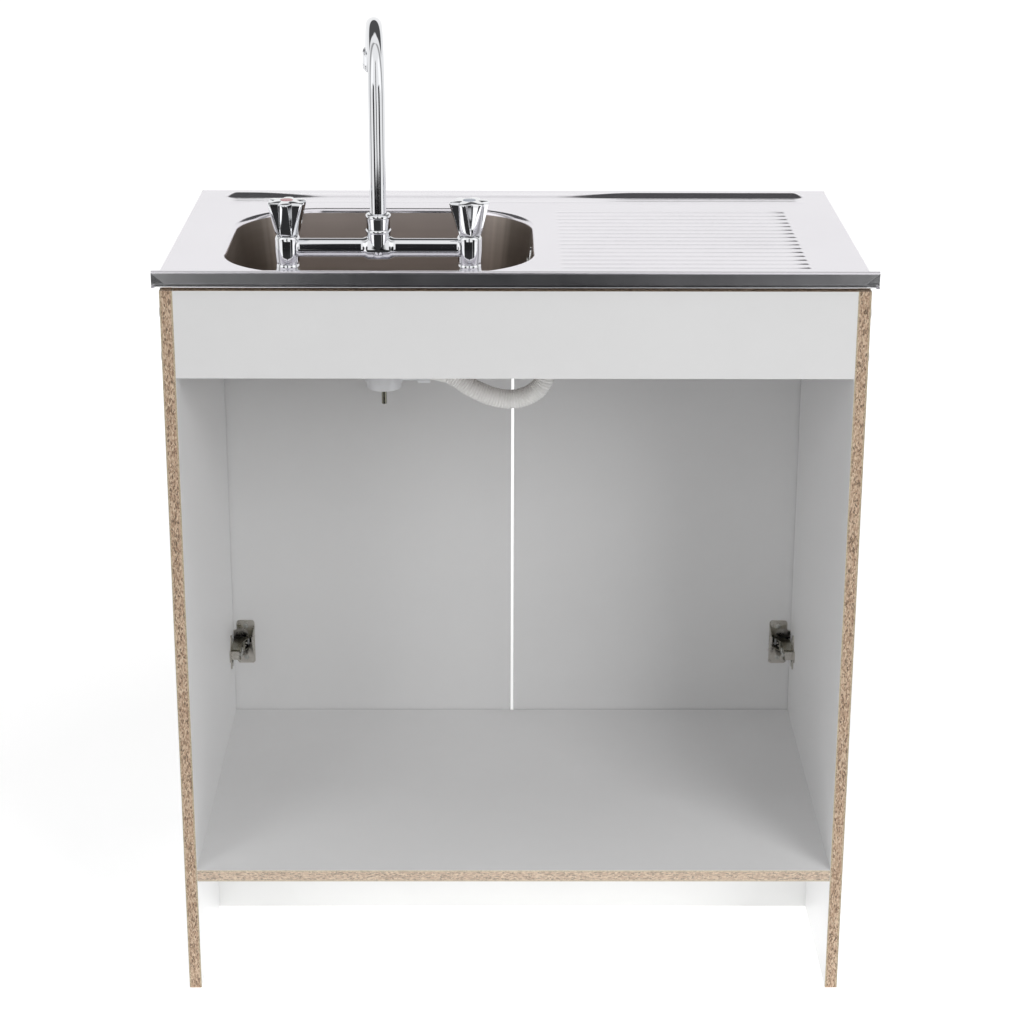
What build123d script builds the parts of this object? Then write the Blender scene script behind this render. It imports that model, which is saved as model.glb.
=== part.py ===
"""Free-standing kitchen sink unit: chipboard cabinet, steel sink top, bridge tap, waste and overflow.

Frame: millimetres, +Z up, doors towards -Y, open back towards +Y, origin under the middle of the
whole unit at floor level. Depths are measured forwards from the rear edges of the side panels.
"""
from build123d import *
import math
import os

# ---- cabinet
cabinet_width = 785.0
cabinet_height = 868.0
side_depth = 475.0
board = 15.0
shelf_top = 158.5
rear_rail_height = 100.0
front_rail_height = 60.0
plinth_depth = 207.0            # rear edges to the plinth board's rear face

# ---- doors and their handles
door_gap = 3.6
door_side_inset = 0.7
door_standoff = 2.0
door_bottom = 145.5
door_top_clearance = 4.0
handle_spacing = 96.0
handle_projection = 28.0
handle_bar_radius = 5.0
handle_edge = 38.0              # door's free edge to the handle's line
handle_top_drop = 64.0          # door's top edge to the upper handle screw
handle_screw_radius = 2.0
handle_screw_head = 4.2

# ---- concealed hinges, in a local frame: x inwards from the cabinet's side, y forwards of its front edge
hinge_end_distance = 113.0      # door's end to the hinge's centre
cup_radius = 17.5
cup_depth = 11.8
cup_wall = 0.9
cup_fit = 0.1
cup_edge_distance = 22.0        # door's edge to the cup's centre
cup_flange_offset = 9.0
cup_flange_width = 24.0
cup_flange_length = 62.0
cup_flange_thickness = 1.0
cup_screw_spacing = 45.0
cup_screw_radius = 1.8
cup_screw_head = 3.4
pivot_arm_outer = (34.6, 2.8)
pivot_cup_outer = (11.8, 4.3)
pivot_arm_inner = (35.0, 8.7)
pivot_cup_inner = (9.6, 9.8)
hinge_pin_radius = 1.5
hinge_pin_clearance = 0.08
arm_half_width = 7.4
arm_sheet = 1.2
arm_back = 46.0
arm_screw_radius = 2.5
arm_screw_head = 4.0
arm_screw_head_height = 2.0
arm_screw_length = 9.0
arm_inner_edge = 29.0           # cabinet's side to the arm's web
link_side_gap = 0.5
link_eye_radius = 2.35
link_bar_width = 2.8
link_open_end = 7.8             # the inner link stops this far from its pin
plate_thickness = 1.5
plate_setback = 37.0            # panel's front edge to the plate's screws
plate_length = 38.0
plate_wing = 24.0
plate_screw_spacing = 32.0
plate_screw_radius = 2.5
plate_screw_head = 4.5

# ---- carcass screws
carcass_screw_radius = 2.5
carcass_screw_length = 50.0
carcass_screw_head = 4.8
carcass_screw_head_depth = 3.0
shelf_screw_margin = 60.0
rail_screw_margins = (25.0, 15.0)     # rear and front rail, from their upper and lower edges
plinth_screw_heights = (35.0, 105.0)
screw_cap_radius = 6.5
screw_cap_thickness = 1.0

# ---- sink top
sink_width = 800.0
sink_depth = 500.0
rear_overhang = 4.4             # rear lip's face behind the side panels' edges
sheet = 0.8
deck_rise = 8.0                 # deck above the cabinet's top
lip_rise = 15.0                 # rear lip above the deck
lip_gap = 4.0                   # rear lip's lower edge above the rear rail
lip_thickness = 7.4
lip_cove = 7.0
lip_fold = 0.6                  # outer folded layer of the rear lip
lip_fold_height = 10.6
lip_fold_mitre = 11.0
edge_radius = 3.5
side_return = 20.0
front_return = 30.0
bowl_length = 356.0
bowl_width = 328.0
bowl_corner = 100.0
bowl_depth = 134.0
bowl_draft = 8.1
bowl_floor_radius = 26.0
bowl_rim_radius = 5.0
bowl_centre_x = 156.5
bowl_centre_depth = 218.5
ridge_count = 16
ridge_pitch = 19.1
ridge_width = 9.0
ridge_height = 1.4
ridge_length = 288.0
ridge_centre_x = -193.0
ridge_centre_depth = 221.5
bead_length = 740.0
bead_width = 35.0
bead_height = 4.5
bead_centre_x = -2.0
bead_depth = 460.0
bowl_seam_drop = 9.0            # deck to the seam where the bowl is welded in

# ---- waste and overflow
waste_hole_radius = 25.0
strainer_radius = 35.0
strainer_thickness = 1.5
strainer_drop = 9.0
strainer_hole_radius = 2.6
waste_seal_thickness = 0.8
lower_seal_thickness = 2.5
waste_flange_radius = 36.0
waste_flange_thickness = 4.0
waste_collar_radius = 23.2
waste_collar_drop = 12.3        # side port's axis to the collar's lower edge
tail_radius = 21.0
tail_bore = 18.4
tail_length = 47.2              # bowl's underside to the tail's lower end
waste_bolt_radius = 3.0
waste_bolt_below_tail = 20.3
port_drop = 26.2                # bowl's underside to the side port's axis
port_radius = 12.0
port_bore = 6.3
port_reach = 41.0               # waste's axis to the port's shoulder
port_nut_radius = 15.3
port_nut_length = 14.5
spigot_radius = 8.3
spigot_length = 14.0
port_spigot_radius = 7.7        # thin enough for the hose to bend straight after the nut
port_spigot_length = 8.0
overflow_drop = 26.0            # deck to the overflow's axis
overflow_hole_radius = 11.0
overflow_seal_radius = 18.0
overflow_flange = 3.0
overflow_face_radius = 16.0
overflow_face_thickness = 1.6
overflow_slot_width = 2.6
overflow_screw_radius = 2.0
elbow_radius = 11.0
elbow_reach = 21.1              # bowl's inner wall to the elbow's axis
elbow_shoulder_drop = 26.0      # overflow's axis to the elbow's lower end

# ---- ribbed overflow hose; heights are above the side port's axis
hose_radius = 11.75
hose_valley_radius = 10.3
hose_bore_radius = 8.7
hose_rib_pitch = 3.7
hose_cuff_length = 24.0
hose_bow = [(75.5, 0.0), (111.5, -27.0), (148.5, -38.0)]                # across from the waste's axis
hose_rise = [(18.9, -31.5), (1.3, -14.0), (-0.8, 20.0), (0.0, 60.0)]    # across from the elbow's axis

# ---- bridge tap
tap_centre_x = 151.5
tap_depth = 32.0
tap_spacing = 201.0
tap_bridge_height = 33.5        # deck to the bridge tube's axis
bridge_radius = 10.4
bridge_bore = 7.0
valve_top = 47.5                # deck to the valve bodies' top
base_radius = 16.2
base_seal_thickness = 1.2
inlet_radius = 10.48            # half-inch pipe thread
inlet_bore = 6.0
inlet_length = 56.0
inlet_relief = 2.0
inlet_relief_depth = 0.8
inlet_hole_clearance = 0.6
valve_bore = 8.6
seat_height = 21.0
spindle_radius = 4.0
spindle_clearance = 0.05
bonnet_radius = 11.0
bonnet_height = 0.6
bonnet_depth = 9.5
disc_radius = 7.2
disc_height = 6.0
backnut_flats = 26.5
backnut_height = 8.0
washer_radius = 15.2
washer_thickness = 2.4
handle_gap = 0.4                # bonnet to the handle's underside
handle_height = 38.5
handle_top_radius = 22.4
handle_foot_radius = 13.5
flute_count = 6
handle_turn = {"hot": 26.0, "cold": 9.0}
spindle_engagement = 18.0
index_radius = 7.0
index_thickness = 1.2
index_rise = 0.3
hub_radius = 13.2
hub_bottom = 22.5
hub_top = 55.0
hub_ring = 0.9
hub_flare_length = 10.0
hub_bore = 9.6
spout_radius = 9.0
spout_bore = 7.4
spout_foot_clearance = 0.08
spout_rise = 191.0              # deck to the start of the swan neck
spout_arc_radius = 75.0
spout_arc_angle = 150.0
spout_nut_height = 17.0
spout_nut_radius = 13.0
spout_turn = 4.0                 # at rest the outlet stands a little towards the +X side
spout_seal_width = 3.0
aerator_radius = 12.0
aerator_length = 24.0
aerator_engagement = 9.0

# ---- derived places
door_thickness = board
total_depth = rear_overhang + lip_fold + side_depth + door_standoff + door_thickness + handle_projection
rear_y = total_depth / 2 - rear_overhang - lip_fold
front_y = rear_y - side_depth
half_width = cabinet_width / 2
inner_half = half_width - board
deck_top = cabinet_height + deck_rise
deck_under = deck_top - sheet
bowl_y = rear_y - bowl_centre_depth
bowl_floor = deck_top - bowl_depth
bowl_under = bowl_floor - sheet
door_top = cabinet_height - door_top_clearance
hinge_heights = (door_bottom + hinge_end_distance, door_top - hinge_end_distance)
tap_y = rear_y - tap_depth
valve_xs = {"hot": tap_centre_x + tap_spacing / 2, "cold": tap_centre_x - tap_spacing / 2}
cup_x = door_side_inset + cup_edge_distance
flange_x = cup_x + cup_flange_offset
door_outer = door_standoff + door_thickness
port_z = bowl_under - port_drop
overflow_z = deck_top - overflow_drop
wall_slope = math.tan(math.radians(bowl_draft))
wall_inner_x = bowl_centre_x - bowl_length / 2 + overflow_drop * wall_slope
hose_top_x = wall_inner_x - elbow_reach


def block(x0, x1, y0, y1, z0, z1):
    """Box between two corners."""
    return Pos((x0 + x1) / 2, (y0 + y1) / 2, (z0 + z1) / 2) * Box(abs(x1 - x0), abs(y1 - y0), abs(z1 - z0))


def rod(start, end, radius):
    """Cylinder from one point to another."""
    start = Vector(*start)
    axis = Vector(*end) - start
    return Solid.make_cylinder(radius, axis.length, Plane(origin=start, z_dir=axis))


def turned(profile, x, y):
    """Solid of revolution about a vertical axis at x, y from (radius, height) points."""
    points = [(radius, 0, height) for radius, height in profile]
    face = Face(Wire.make_polygon([Vector(*p) for p in points], close=True))
    return Pos(x, y, 0) * revolve(face, Axis.Z, 360)


def hexagon_nut(x, y, z0, height, flats, bore):
    """Hexagonal nut standing on z0."""
    body = Pos(x, y, z0) * extrude(RegularPolygon(flats / 2, 6, major_radius=False), height)
    return body - rod((x, y, z0 - 1), (x, y, z0 + height + 1), bore)


def save(name, shape):
    """Writes one named sub-part."""
    solids = shape.solids() if hasattr(shape, "solids") else ShapeList(shape)
    part = solids[0] if len(solids) == 1 else Compound(list(solids))
    export_step(part, "parts/" + name + ".step")


def group(shapes):
    """Separate solids kept side by side in one sub-part."""
    return Compound([solid for shape in shapes for solid in shape.solids()])


def both_sides(name, shape):
    """Writes a right-hand sub-part and its mirror image on the left."""
    save(name + "_right", shape)
    save(name + "_left", mirror(shape, Plane.YZ))


def both_together(name, shape):
    """Writes a right-hand group of solids and its mirror image as one sub-part."""
    save(name, group([shape, mirror(shape, Plane.YZ)]))


# ---------------------------------------------------------------- cabinet
def carcass_screw_places():
    """Heights and depths of the screws through each side panel into the boards between them."""
    shelf_z = shelf_top - board / 2
    rear_margin, front_margin = rail_screw_margins
    depths = (shelf_screw_margin, side_depth / 2, side_depth - shelf_screw_margin)
    places = [(rear_y - depth, shelf_z) for depth in depths]
    places += [(rear_y - board / 2, cabinet_height - drop)
               for drop in (rear_margin, rear_rail_height - rear_margin)]
    places += [(front_y + board / 2, cabinet_height - drop)
               for drop in (front_margin, front_rail_height - front_margin)]
    places += [(rear_y - plinth_depth - board / 2, height) for height in plinth_screw_heights]
    return places


def carcass_screw(y, z):
    """One screw driven inwards through the right side panel, its head flush with the outer face."""
    tip = half_width - carcass_screw_length
    head = half_width - carcass_screw_head_depth
    return rod((head, y, z), (tip, y, z), carcass_screw_radius) + rod((half_width, y, z), (head, y, z),
                                                                      carcass_screw_head)


def hinge_to_right(shape):
    """Takes a shape from the hinge's local frame to the right side of the cabinet."""
    return Pos(half_width, front_y, 0) * Rot(0, 0, 180) * shape


def side_panel(screws):
    """Right side panel with its screw holes."""
    panel = block(inner_half, half_width, front_y, rear_y, 0, cabinet_height)
    for screw in screws:
        panel -= screw
    for height in hinge_heights:
        for shape in plate_screws(height):
            panel -= hinge_to_right(shape)
    return panel


def cross_board(y0, y1, z0, z1, screws):
    """Board between the two side panels, drilled at both ends."""
    result = block(-inner_half, inner_half, y0, y1, z0, z1)
    for screw in screws:
        box = screw.bounding_box()
        middle_y = (box.min.Y + box.max.Y) / 2
        middle_z = (box.min.Z + box.max.Z) / 2
        if min(y0, y1) < middle_y < max(y0, y1) and z0 < middle_z < z1:
            result = result - screw - mirror(screw, Plane.YZ)
    return result


def cabinet():
    """Side panels, shelf, rails, plinth board and the screws with their caps."""
    places = carcass_screw_places()
    screws = [carcass_screw(y, z) for y, z in places]
    both_sides("side_panel", side_panel(screws))
    save("base_shelf", cross_board(front_y, rear_y, shelf_top - board, shelf_top, screws))
    save("rear_rail", cross_board(rear_y - board, rear_y, cabinet_height - rear_rail_height,
                                  cabinet_height, screws))
    save("front_rail", cross_board(front_y, front_y + board, cabinet_height - front_rail_height,
                                   cabinet_height, screws))
    save("plinth_board", cross_board(rear_y - plinth_depth - board, rear_y - plinth_depth, 0,
                                     shelf_top - board, screws))
    caps = [rod((half_width, y, z), (half_width + screw_cap_thickness, y, z), screw_cap_radius)
            for y, z in places]
    save("carcass_screws", group(screws + [mirror(s, Plane.YZ) for s in screws]))
    save("screw_caps", group(caps + [mirror(c, Plane.YZ) for c in caps]))


# ---------------------------------------------------------------- hinges, local frame
def plate_screws(height):
    """Two screws that hold a mounting plate to the side panel."""
    result = []
    for z in (height - plate_screw_spacing / 2, height + plate_screw_spacing / 2):
        shank = rod((board - 10.0, -plate_setback, z), (board + plate_thickness, -plate_setback, z),
                    plate_screw_radius)
        head = rod((board + plate_thickness, -plate_setback, z),
                   (board + plate_thickness + 1.6, -plate_setback, z), plate_screw_head)
        result.append(shank + head)
    return result


def mounting_plate(height):
    """Winged plate on the panel with the raised block that carries the arm."""
    x0 = board
    x1 = board + plate_thickness
    back = -plate_setback - plate_length / 2
    front = -plate_setback + plate_length / 2
    plate = block(x0, x1, back, front, height - arm_half_width, height + arm_half_width)
    wing = block(x0, x1, -plate_setback - 7.0, -plate_setback + 7.0, height - plate_wing,
                 height + plate_wing)
    wing = fillet(wing.edges().filter_by(Axis.X), 6.5)
    rise = arm_inner_edge - arm_sheet - 0.3
    carrier = block(x0, rise, back + 6.0, front - 6.0, height - arm_half_width + arm_sheet + 0.5,
                    height + arm_half_width - arm_sheet - 0.5)
    plate = plate + wing + carrier
    for screw in plate_screws(height):
        plate -= screw
    for y in (-plate_setback - 8.0, -plate_setback + 6.0):
        plate -= rod((arm_inner_edge - arm_screw_length, y, height), (rise + 1, y, height), arm_screw_radius)
    return plate


def arm_outline():
    """Side view of the arm: a channel behind, a nose that reaches into the cup in front."""
    ax, ay = pivot_arm_outer
    bx, by = pivot_arm_inner
    back = -arm_back
    low = board + plate_thickness
    points = [(low, back), (low, -13.0), (low + 2.5, -7.5), (ax - 7.0, -3.6), (ax - 3.2, ay - 2.6),
              (bx - 2.4, by), (bx - 1.4, by + 2.0), (bx + 0.8, by + 2.2), (bx + 2.0, by + 0.6),
              (ax + 2.4, ay), (ax + 2.4, ay - 3.6), (arm_inner_edge + 2.5, -13.0),
              (arm_inner_edge, -19.0), (arm_inner_edge, back)]
    return make_face(Polyline(*points, close=True))


def hinge_arm(height):
    """Pressed arm: two cheeks joined by a web that faces into the cabinet."""
    outline = arm_outline()
    cheeks = extrude(outline, arm_half_width * 2)
    cheeks = Pos(0, 0, height - arm_half_width) * cheeks
    inside = arm_half_width - arm_sheet
    hollow = block(0, arm_inner_edge - arm_sheet, -arm_back - 1, -13.0, height - inside, height + inside)
    nose_gap = block(0, 60.0, -13.1, 40.0, height - inside, height + inside)
    arm = cheeks - hollow - nose_gap
    for x, y in (pivot_arm_outer, pivot_arm_inner):
        arm -= rod((x, y, height - 20), (x, y, height + 20), hinge_pin_radius)
    for y in (-plate_setback - 8.0, -plate_setback + 6.0):
        arm -= rod((arm_inner_edge - 3.0, y, height), (arm_inner_edge + 2, y, height), arm_screw_radius)
    return arm


def arm_screws(height):
    """Fixing and adjusting screws through the arm's web into the plate."""
    result = []
    for y in (-plate_setback - 8.0, -plate_setback + 6.0):
        face = arm_inner_edge + arm_screw_head_height
        reach = arm_screw_head * 0.75
        shank_end = arm_inner_edge - arm_screw_length
        shank = rod((shank_end, y, height), (arm_inner_edge, y, height), arm_screw_radius)
        head = rod((arm_inner_edge, y, height), (face, y, height), arm_screw_head)
        slot = block(face - 1.0, face + 1.0, y - 0.5, y + 0.5, height - reach, height + reach)
        cross = block(face - 1.0, face + 1.0, y - reach, y + reach, height - 0.5, height + 0.5)
        result.append(shank + head - slot - cross)
    return result


def arm_pins(height):
    """The two pins across the arm's cheeks."""
    return [rod((x, y, height - arm_half_width), (x, y, height + arm_half_width), hinge_pin_radius)
            for x, y in (pivot_arm_outer, pivot_arm_inner)]


def cup_pins(height):
    """Pins across the cup; each is as long as the cup is wide at its place."""
    result = []
    radius = cup_radius - 2 * cup_fit
    for x, y in (pivot_cup_outer, pivot_cup_inner):
        half = math.sqrt(radius ** 2 - (cup_x - x + hinge_pin_radius) ** 2)
        result.append(rod((x, y, height - half), (x, y, height + half), hinge_pin_radius))
    return result


def bar_outline(start, end, width, start_eye, end_eye):
    """Flat bar between two points with a round eye at each end."""
    first = Vector(*start)
    last = Vector(*end)
    span = last - first
    angle = math.degrees(math.atan2(span.Y, span.X))
    bar = Pos((first.X + last.X) / 2, (first.Y + last.Y) / 2) * Rot(0, 0, angle) * Rectangle(span.length,
                                                                                          width)
    return bar + Pos(*start) * Circle(start_eye) + Pos(*end) * Circle(end_eye)


def outer_link(height):
    """Two plates on the outer pins, joined by a web beside the arm's pin."""
    outline = bar_outline(pivot_arm_outer, pivot_cup_outer, link_bar_width, 2.6, link_eye_radius)
    outside = arm_half_width - arm_sheet - link_side_gap
    plates = Pos(0, 0, height - outside) * extrude(outline, 2 * outside)
    plates -= block(-10, 60, -20, 40, height - outside + arm_sheet, height + outside - arm_sheet)
    ax, ay = pivot_arm_outer
    web_x = ax - 5.0
    web = block(web_x - 1.0, web_x + 1.0, ay - 1.2, ay + 1.6, height - outside, height + outside)
    plates += web
    for x, y in (pivot_arm_outer, pivot_cup_outer):
        plates -= rod((x, y, height - 20), (x, y, height + 20), hinge_pin_radius + hinge_pin_clearance)
    return plates


def inner_link(height):
    """Blade on the inner arm pin; it ends short of the cup's inner pin."""
    start = Vector(*pivot_arm_inner)
    full = Vector(*pivot_cup_inner) - start
    end = start + full * ((full.length - link_open_end) / full.length)
    outline = bar_outline(pivot_arm_inner, (end.X, end.Y), 2.4, 2.3, 1.2)
    half = arm_half_width - 2 * arm_sheet - 2 * link_side_gap - 0.4
    blade = Pos(0, 0, height - half) * extrude(outline, 2 * half)
    return blade - rod((start.X, start.Y, height - 20), (start.X, start.Y, height + 20),
                       hinge_pin_radius + hinge_pin_clearance)


def cup_bore(height):
    """Round pocket in the door for the cup."""
    return rod((cup_x, door_standoff - 1, height), (cup_x, door_standoff + cup_depth + 0.2, height),
               cup_radius)


def cup_screw_places(height):
    """Places of the cup flange's two screws."""
    return [(flange_x, height + side * cup_screw_spacing / 2) for side in (-1, 1)]


def cup_screws(height):
    """Two countersunk screws through the cup's flange into the door."""
    face = door_standoff - cup_flange_thickness
    result = []
    for x, z in cup_screw_places(height):
        shank = rod((x, face, z), (x, door_standoff + 11.0, z), cup_screw_radius)
        head = rod((x, face - 1.2, z), (x, face, z), cup_screw_head)
        slot = block(x - 2.4, x + 2.4, face - 2.0, face - 0.6, z - 0.4, z + 0.4)
        cross = block(x - 0.4, x + 0.4, face - 2.0, face - 0.6, z - 2.4, z + 2.4)
        result.append(shank + head - slot - cross)
    return result


def hinge_cup(height):
    """Pressed cup with its flange on the door's inner face."""
    face = door_standoff - cup_flange_thickness
    outer = rod((cup_x, door_standoff, height), (cup_x, door_standoff + cup_depth, height),
                cup_radius - cup_fit)
    flange = block(flange_x - cup_flange_width / 2, flange_x + cup_flange_width / 2, face, door_standoff,
                   height - cup_flange_length / 2, height + cup_flange_length / 2)
    flange = fillet(flange.edges().filter_by(Axis.Y), 4.0)
    ring = rod((cup_x, face, height), (cup_x, door_standoff, height), cup_radius + 0.4)
    hollow = rod((cup_x, face - 1, height), (cup_x, door_standoff + cup_depth - 0.6, height),
                 cup_radius - cup_fit - cup_wall)
    cup = outer + flange + ring - hollow
    for x, z in cup_screw_places(height):
        cup -= rod((x, face - 1, z), (x, door_standoff + 1, z), cup_screw_radius)
    for pin in cup_pins(height):
        cup -= pin
    return cup


def hinge_set(piece):
    """The same piece of the lower and the upper hinge on the right side."""
    shapes = []
    for height in hinge_heights:
        made = piece(height)
        shapes += made if isinstance(made, list) else [made]
    return hinge_to_right(group(shapes))


def hinges():
    """All hinge pieces, two hinges to a side; fixed pieces of both sides share one sub-part."""
    both_together("hinge_plates", hinge_set(mounting_plate))
    both_together("hinge_plate_screws", hinge_set(plate_screws))
    both_together("hinge_arms", hinge_set(hinge_arm))
    both_together("hinge_arm_screws", hinge_set(arm_screws))
    both_together("hinge_arm_pins", hinge_set(arm_pins))
    both_sides("hinge_outer_links", hinge_set(outer_link))
    both_sides("hinge_inner_links", hinge_set(inner_link))
    both_sides("hinge_cups", hinge_set(hinge_cup))
    both_sides("hinge_cup_pins", hinge_set(cup_pins))
    both_sides("hinge_cup_screws", hinge_set(cup_screws))


# ---------------------------------------------------------------- doors, local frame
def handle_places():
    """Local x and the two heights of the handle's feet."""
    x = half_width - door_gap / 2 - handle_edge
    top = door_top - handle_top_drop
    return x, (top - handle_spacing, top)


def handle_screws():
    """Two screws from inside the door into the handle's feet."""
    x, heights = handle_places()
    result = []
    for z in heights:
        shank = rod((x, door_standoff, z), (x, door_outer + 10.0, z), handle_screw_radius)
        head = rod((x, door_standoff - 1.6, z), (x, door_standoff, z), handle_screw_head)
        slot = block(x - 3, x + 3, door_standoff - 2.0, door_standoff - 0.9, z - 0.5, z + 0.5)
        result.append(shank + head - slot)
    return result


def door_handle():
    """Bow handle: a round bar bent back to the door at both ends."""
    x, (low, high) = handle_places()
    reach = door_outer + handle_projection - handle_bar_radius
    path = FilletPolyline((x, door_outer, low), (x, reach, low), (x, reach, high), (x, door_outer, high),
                          radius=handle_projection * 0.5)
    section = Plane(origin=(x, door_outer, low), z_dir=(0, 1, 0)) * Circle(handle_bar_radius)
    bar = sweep(section, path)
    feet = [rod((x, door_outer, z), (x, door_outer + 2.0, z), handle_bar_radius + 1.8) for z in (low, high)]
    bar = bar + feet[0] + feet[1]
    for z in (low, high):
        bar -= rod((x, door_outer - 1, z), (x, door_outer + 10.0, z), handle_screw_radius)
    return bar


def door():
    """Right door: a full overlay board drilled for its two cups, its cup screws and its handle."""
    board_body = block(door_side_inset, half_width - door_gap / 2, door_standoff, door_outer, door_bottom,
                       door_top)
    for height in hinge_heights:
        board_body -= cup_bore(height)
        for x, z in cup_screw_places(height):
            board_body -= rod((x, door_standoff - 1, z), (x, door_standoff + 11.0, z), cup_screw_radius)
    x, heights = handle_places()
    for z in heights:
        board_body -= rod((x, door_standoff - 1, z), (x, door_outer + 1, z), handle_screw_radius)
    return board_body


def doors():
    """Doors with their handles and handle screws."""
    both_sides("door", hinge_to_right(door()))
    both_sides("door_handle", hinge_to_right(door_handle()))
    both_sides("handle_screws", hinge_to_right(group(handle_screws())))


# ---------------------------------------------------------------- sink top
def bowl_block(shrink, top, depth):
    """Drafted, round-cornered body of the bowl, its floor edge rounded."""
    drop = deck_top - top
    inset = drop * wall_slope + shrink
    outline = RectangleRounded(bowl_length - 2 * inset, bowl_width - 2 * inset, bowl_corner - inset)
    body = extrude(outline, -depth, taper=bowl_draft)
    body = fillet(body.edges().group_by(Axis.Z)[0], bowl_floor_radius - shrink)
    return Pos(bowl_centre_x, bowl_y, top) * body


def slot_bump(length, width, height, x, y, z):
    """Long low bump with round ends and soft shoulders, standing on z."""
    bump = extrude(SlotOverall(length, width), height)
    bump = fillet(bump.edges().group_by(Axis.Z)[-1], height * 0.85)
    return Pos(x, y, z) * bump


def rear_lip():
    """Turned-up rear lip: a hollow fold, coved to the deck, closed at both ends."""
    y0 = -rear_overhang
    bottom = cabinet_height + lip_gap
    top = deck_top + lip_rise
    foot = y0 + lip_thickness + lip_cove + 3.0
    outline = make_face(Polyline((y0, bottom), (y0, top), (y0 + lip_thickness, top),
                                 (y0 + lip_thickness, deck_top), (foot, deck_top), (foot, bottom),
                                 close=True))
    corners = outline.vertices()
    upper = corners.filter_by(lambda v: abs(v.Y - top) < 0.01)
    outline = fillet(upper, 2.2)
    cove = outline.vertices().filter_by(
        lambda v: abs(v.Y - deck_top) < 0.01 and abs(v.X - y0 - lip_thickness) < 0.01)
    outline = fillet(cove, lip_cove)
    hollow = offset(outline, -sheet)
    tube = outline - hollow
    tube -= Pos(foot, (bottom + deck_under) / 2 - 1) * Rectangle(6.0, deck_under - bottom + 2)
    section_plane = Plane(origin=(-sink_width / 2, rear_y, 0), x_dir=(0, -1, 0), z_dir=(-1, 0, 0))
    lip = extrude(section_plane * tube, sink_width, dir=(1, 0, 0))
    for x in (-sink_width / 2, sink_width / 2 - sheet):
        cap_plane = Plane(origin=(x, rear_y, 0), x_dir=(0, -1, 0), z_dir=(-1, 0, 0))
        lip += extrude(cap_plane * outline, sheet, dir=(1, 0, 0))
    return lip


def lip_fold_layer():
    """Outer folded layer on the lip's rear face, mitred at both ends."""
    top = deck_top + lip_rise - 2.2
    low = top - lip_fold_height
    half = sink_width / 2 - 1.0
    outline = make_face(Polyline((-half, top), (half, top), (half - lip_fold_mitre, low),
                                 (-half + lip_fold_mitre, low), close=True))
    plane = Plane(origin=(0, rear_y + rear_overhang, 0), x_dir=(-1, 0, 0), z_dir=(0, 1, 0))
    return extrude(plane * outline, lip_fold, dir=(0, 1, 0))


def deck_tray():
    """Flat deck with its turned-down side and front edges and their inward returns."""
    lip_foot = lip_thickness + lip_cove
    y_back = rear_y + rear_overhang
    y_front = y_back - sink_depth
    half = sink_width / 2
    tray = block(-half, half, y_front, y_back, cabinet_height, deck_top)
    rounded = [e for e in tray.edges() if e.center().Z > deck_top - 0.01 and e.center().Y < y_back - 1]
    tray = fillet(ShapeList(rounded), edge_radius)
    inside = block(-half + sheet, half - sheet, y_front + sheet, y_back + 1, cabinet_height + sheet,
                   deck_under)
    inner = [e for e in inside.edges() if e.center().Z > deck_under - 0.01 and e.center().Y < y_back]
    inside = fillet(ShapeList(inner), edge_radius - sheet)
    opening = block(-half + side_return, half - side_return, y_front + front_return, y_back + 1,
                    cabinet_height - 1, cabinet_height + sheet + 1)
    tray = tray - inside - opening
    rear_cut = block(-half + sheet, half - sheet, y_back - lip_foot, y_back + 1, cabinet_height - 1,
                     deck_top + 1)
    return tray - rear_cut


def sink_sheet():
    """The whole sheet: deck, bowl, drainer ridges, front bead and rear lip."""
    top = deck_tray() + rear_lip() + lip_fold_layer()
    top += bowl_block(-sheet, deck_under, bowl_depth)
    bend = [e for e in top.edges() if abs(e.center().Z - deck_under) < 0.02
            and abs(e.center().X - bowl_centre_x) < bowl_length / 2 + 3
            and abs(e.center().Y - bowl_y) < bowl_width / 2 + 3]
    top = fillet(ShapeList(bend), bowl_rim_radius)
    top -= bowl_block(0, deck_top, bowl_depth)
    rim = [e for e in top.edges() if abs(e.center().Z - deck_top) < 0.02
           and abs(e.center().X - bowl_centre_x) < bowl_length / 2 + 1
           and abs(e.center().Y - bowl_y) < bowl_width / 2 + 1]
    top = fillet(ShapeList(rim), bowl_rim_radius + sheet)
    first = ridge_centre_depth - ridge_pitch * (ridge_count - 1) / 2
    for i in range(ridge_count):
        y = rear_y - first - i * ridge_pitch
        top += slot_bump(ridge_length, ridge_width, ridge_height, ridge_centre_x, y, deck_top)
        top -= slot_bump(ridge_length - 2 * sheet, ridge_width - 2 * sheet, ridge_height, ridge_centre_x, y,
                         deck_under)
    y = rear_y - bead_depth
    top += slot_bump(bead_length, bead_width, bead_height, bead_centre_x, y, deck_top)
    top -= slot_bump(bead_length - 2 * sheet, bead_width - 2 * sheet, bead_height, bead_centre_x, y,
                     deck_under)
    for x in valve_xs.values():
        top -= rod((x, tap_y, deck_top - 5), (x, tap_y, deck_top + 5), inlet_radius + inlet_hole_clearance)
    top -= rod((bowl_centre_x, bowl_y, bowl_floor - 5), (bowl_centre_x, bowl_y, bowl_floor + 5),
               waste_hole_radius)
    top -= rod((wall_inner_x - 8, bowl_y, overflow_z), (wall_inner_x + 8, bowl_y, overflow_z),
               overflow_hole_radius)
    return top


def sink():
    """Writes the deck and the bowl, which meet face to face at the weld below the rim."""
    top = sink_sheet()
    seam = deck_top - bowl_seam_drop
    below = block(bowl_centre_x - bowl_length / 2 - 5, bowl_centre_x + bowl_length / 2 + 5,
                  bowl_y - bowl_width / 2 - 5, bowl_y + bowl_width / 2 + 5, bowl_under - 5, seam)
    save("sink_deck", top - below)
    save("sink_bowl", top & below)


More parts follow.
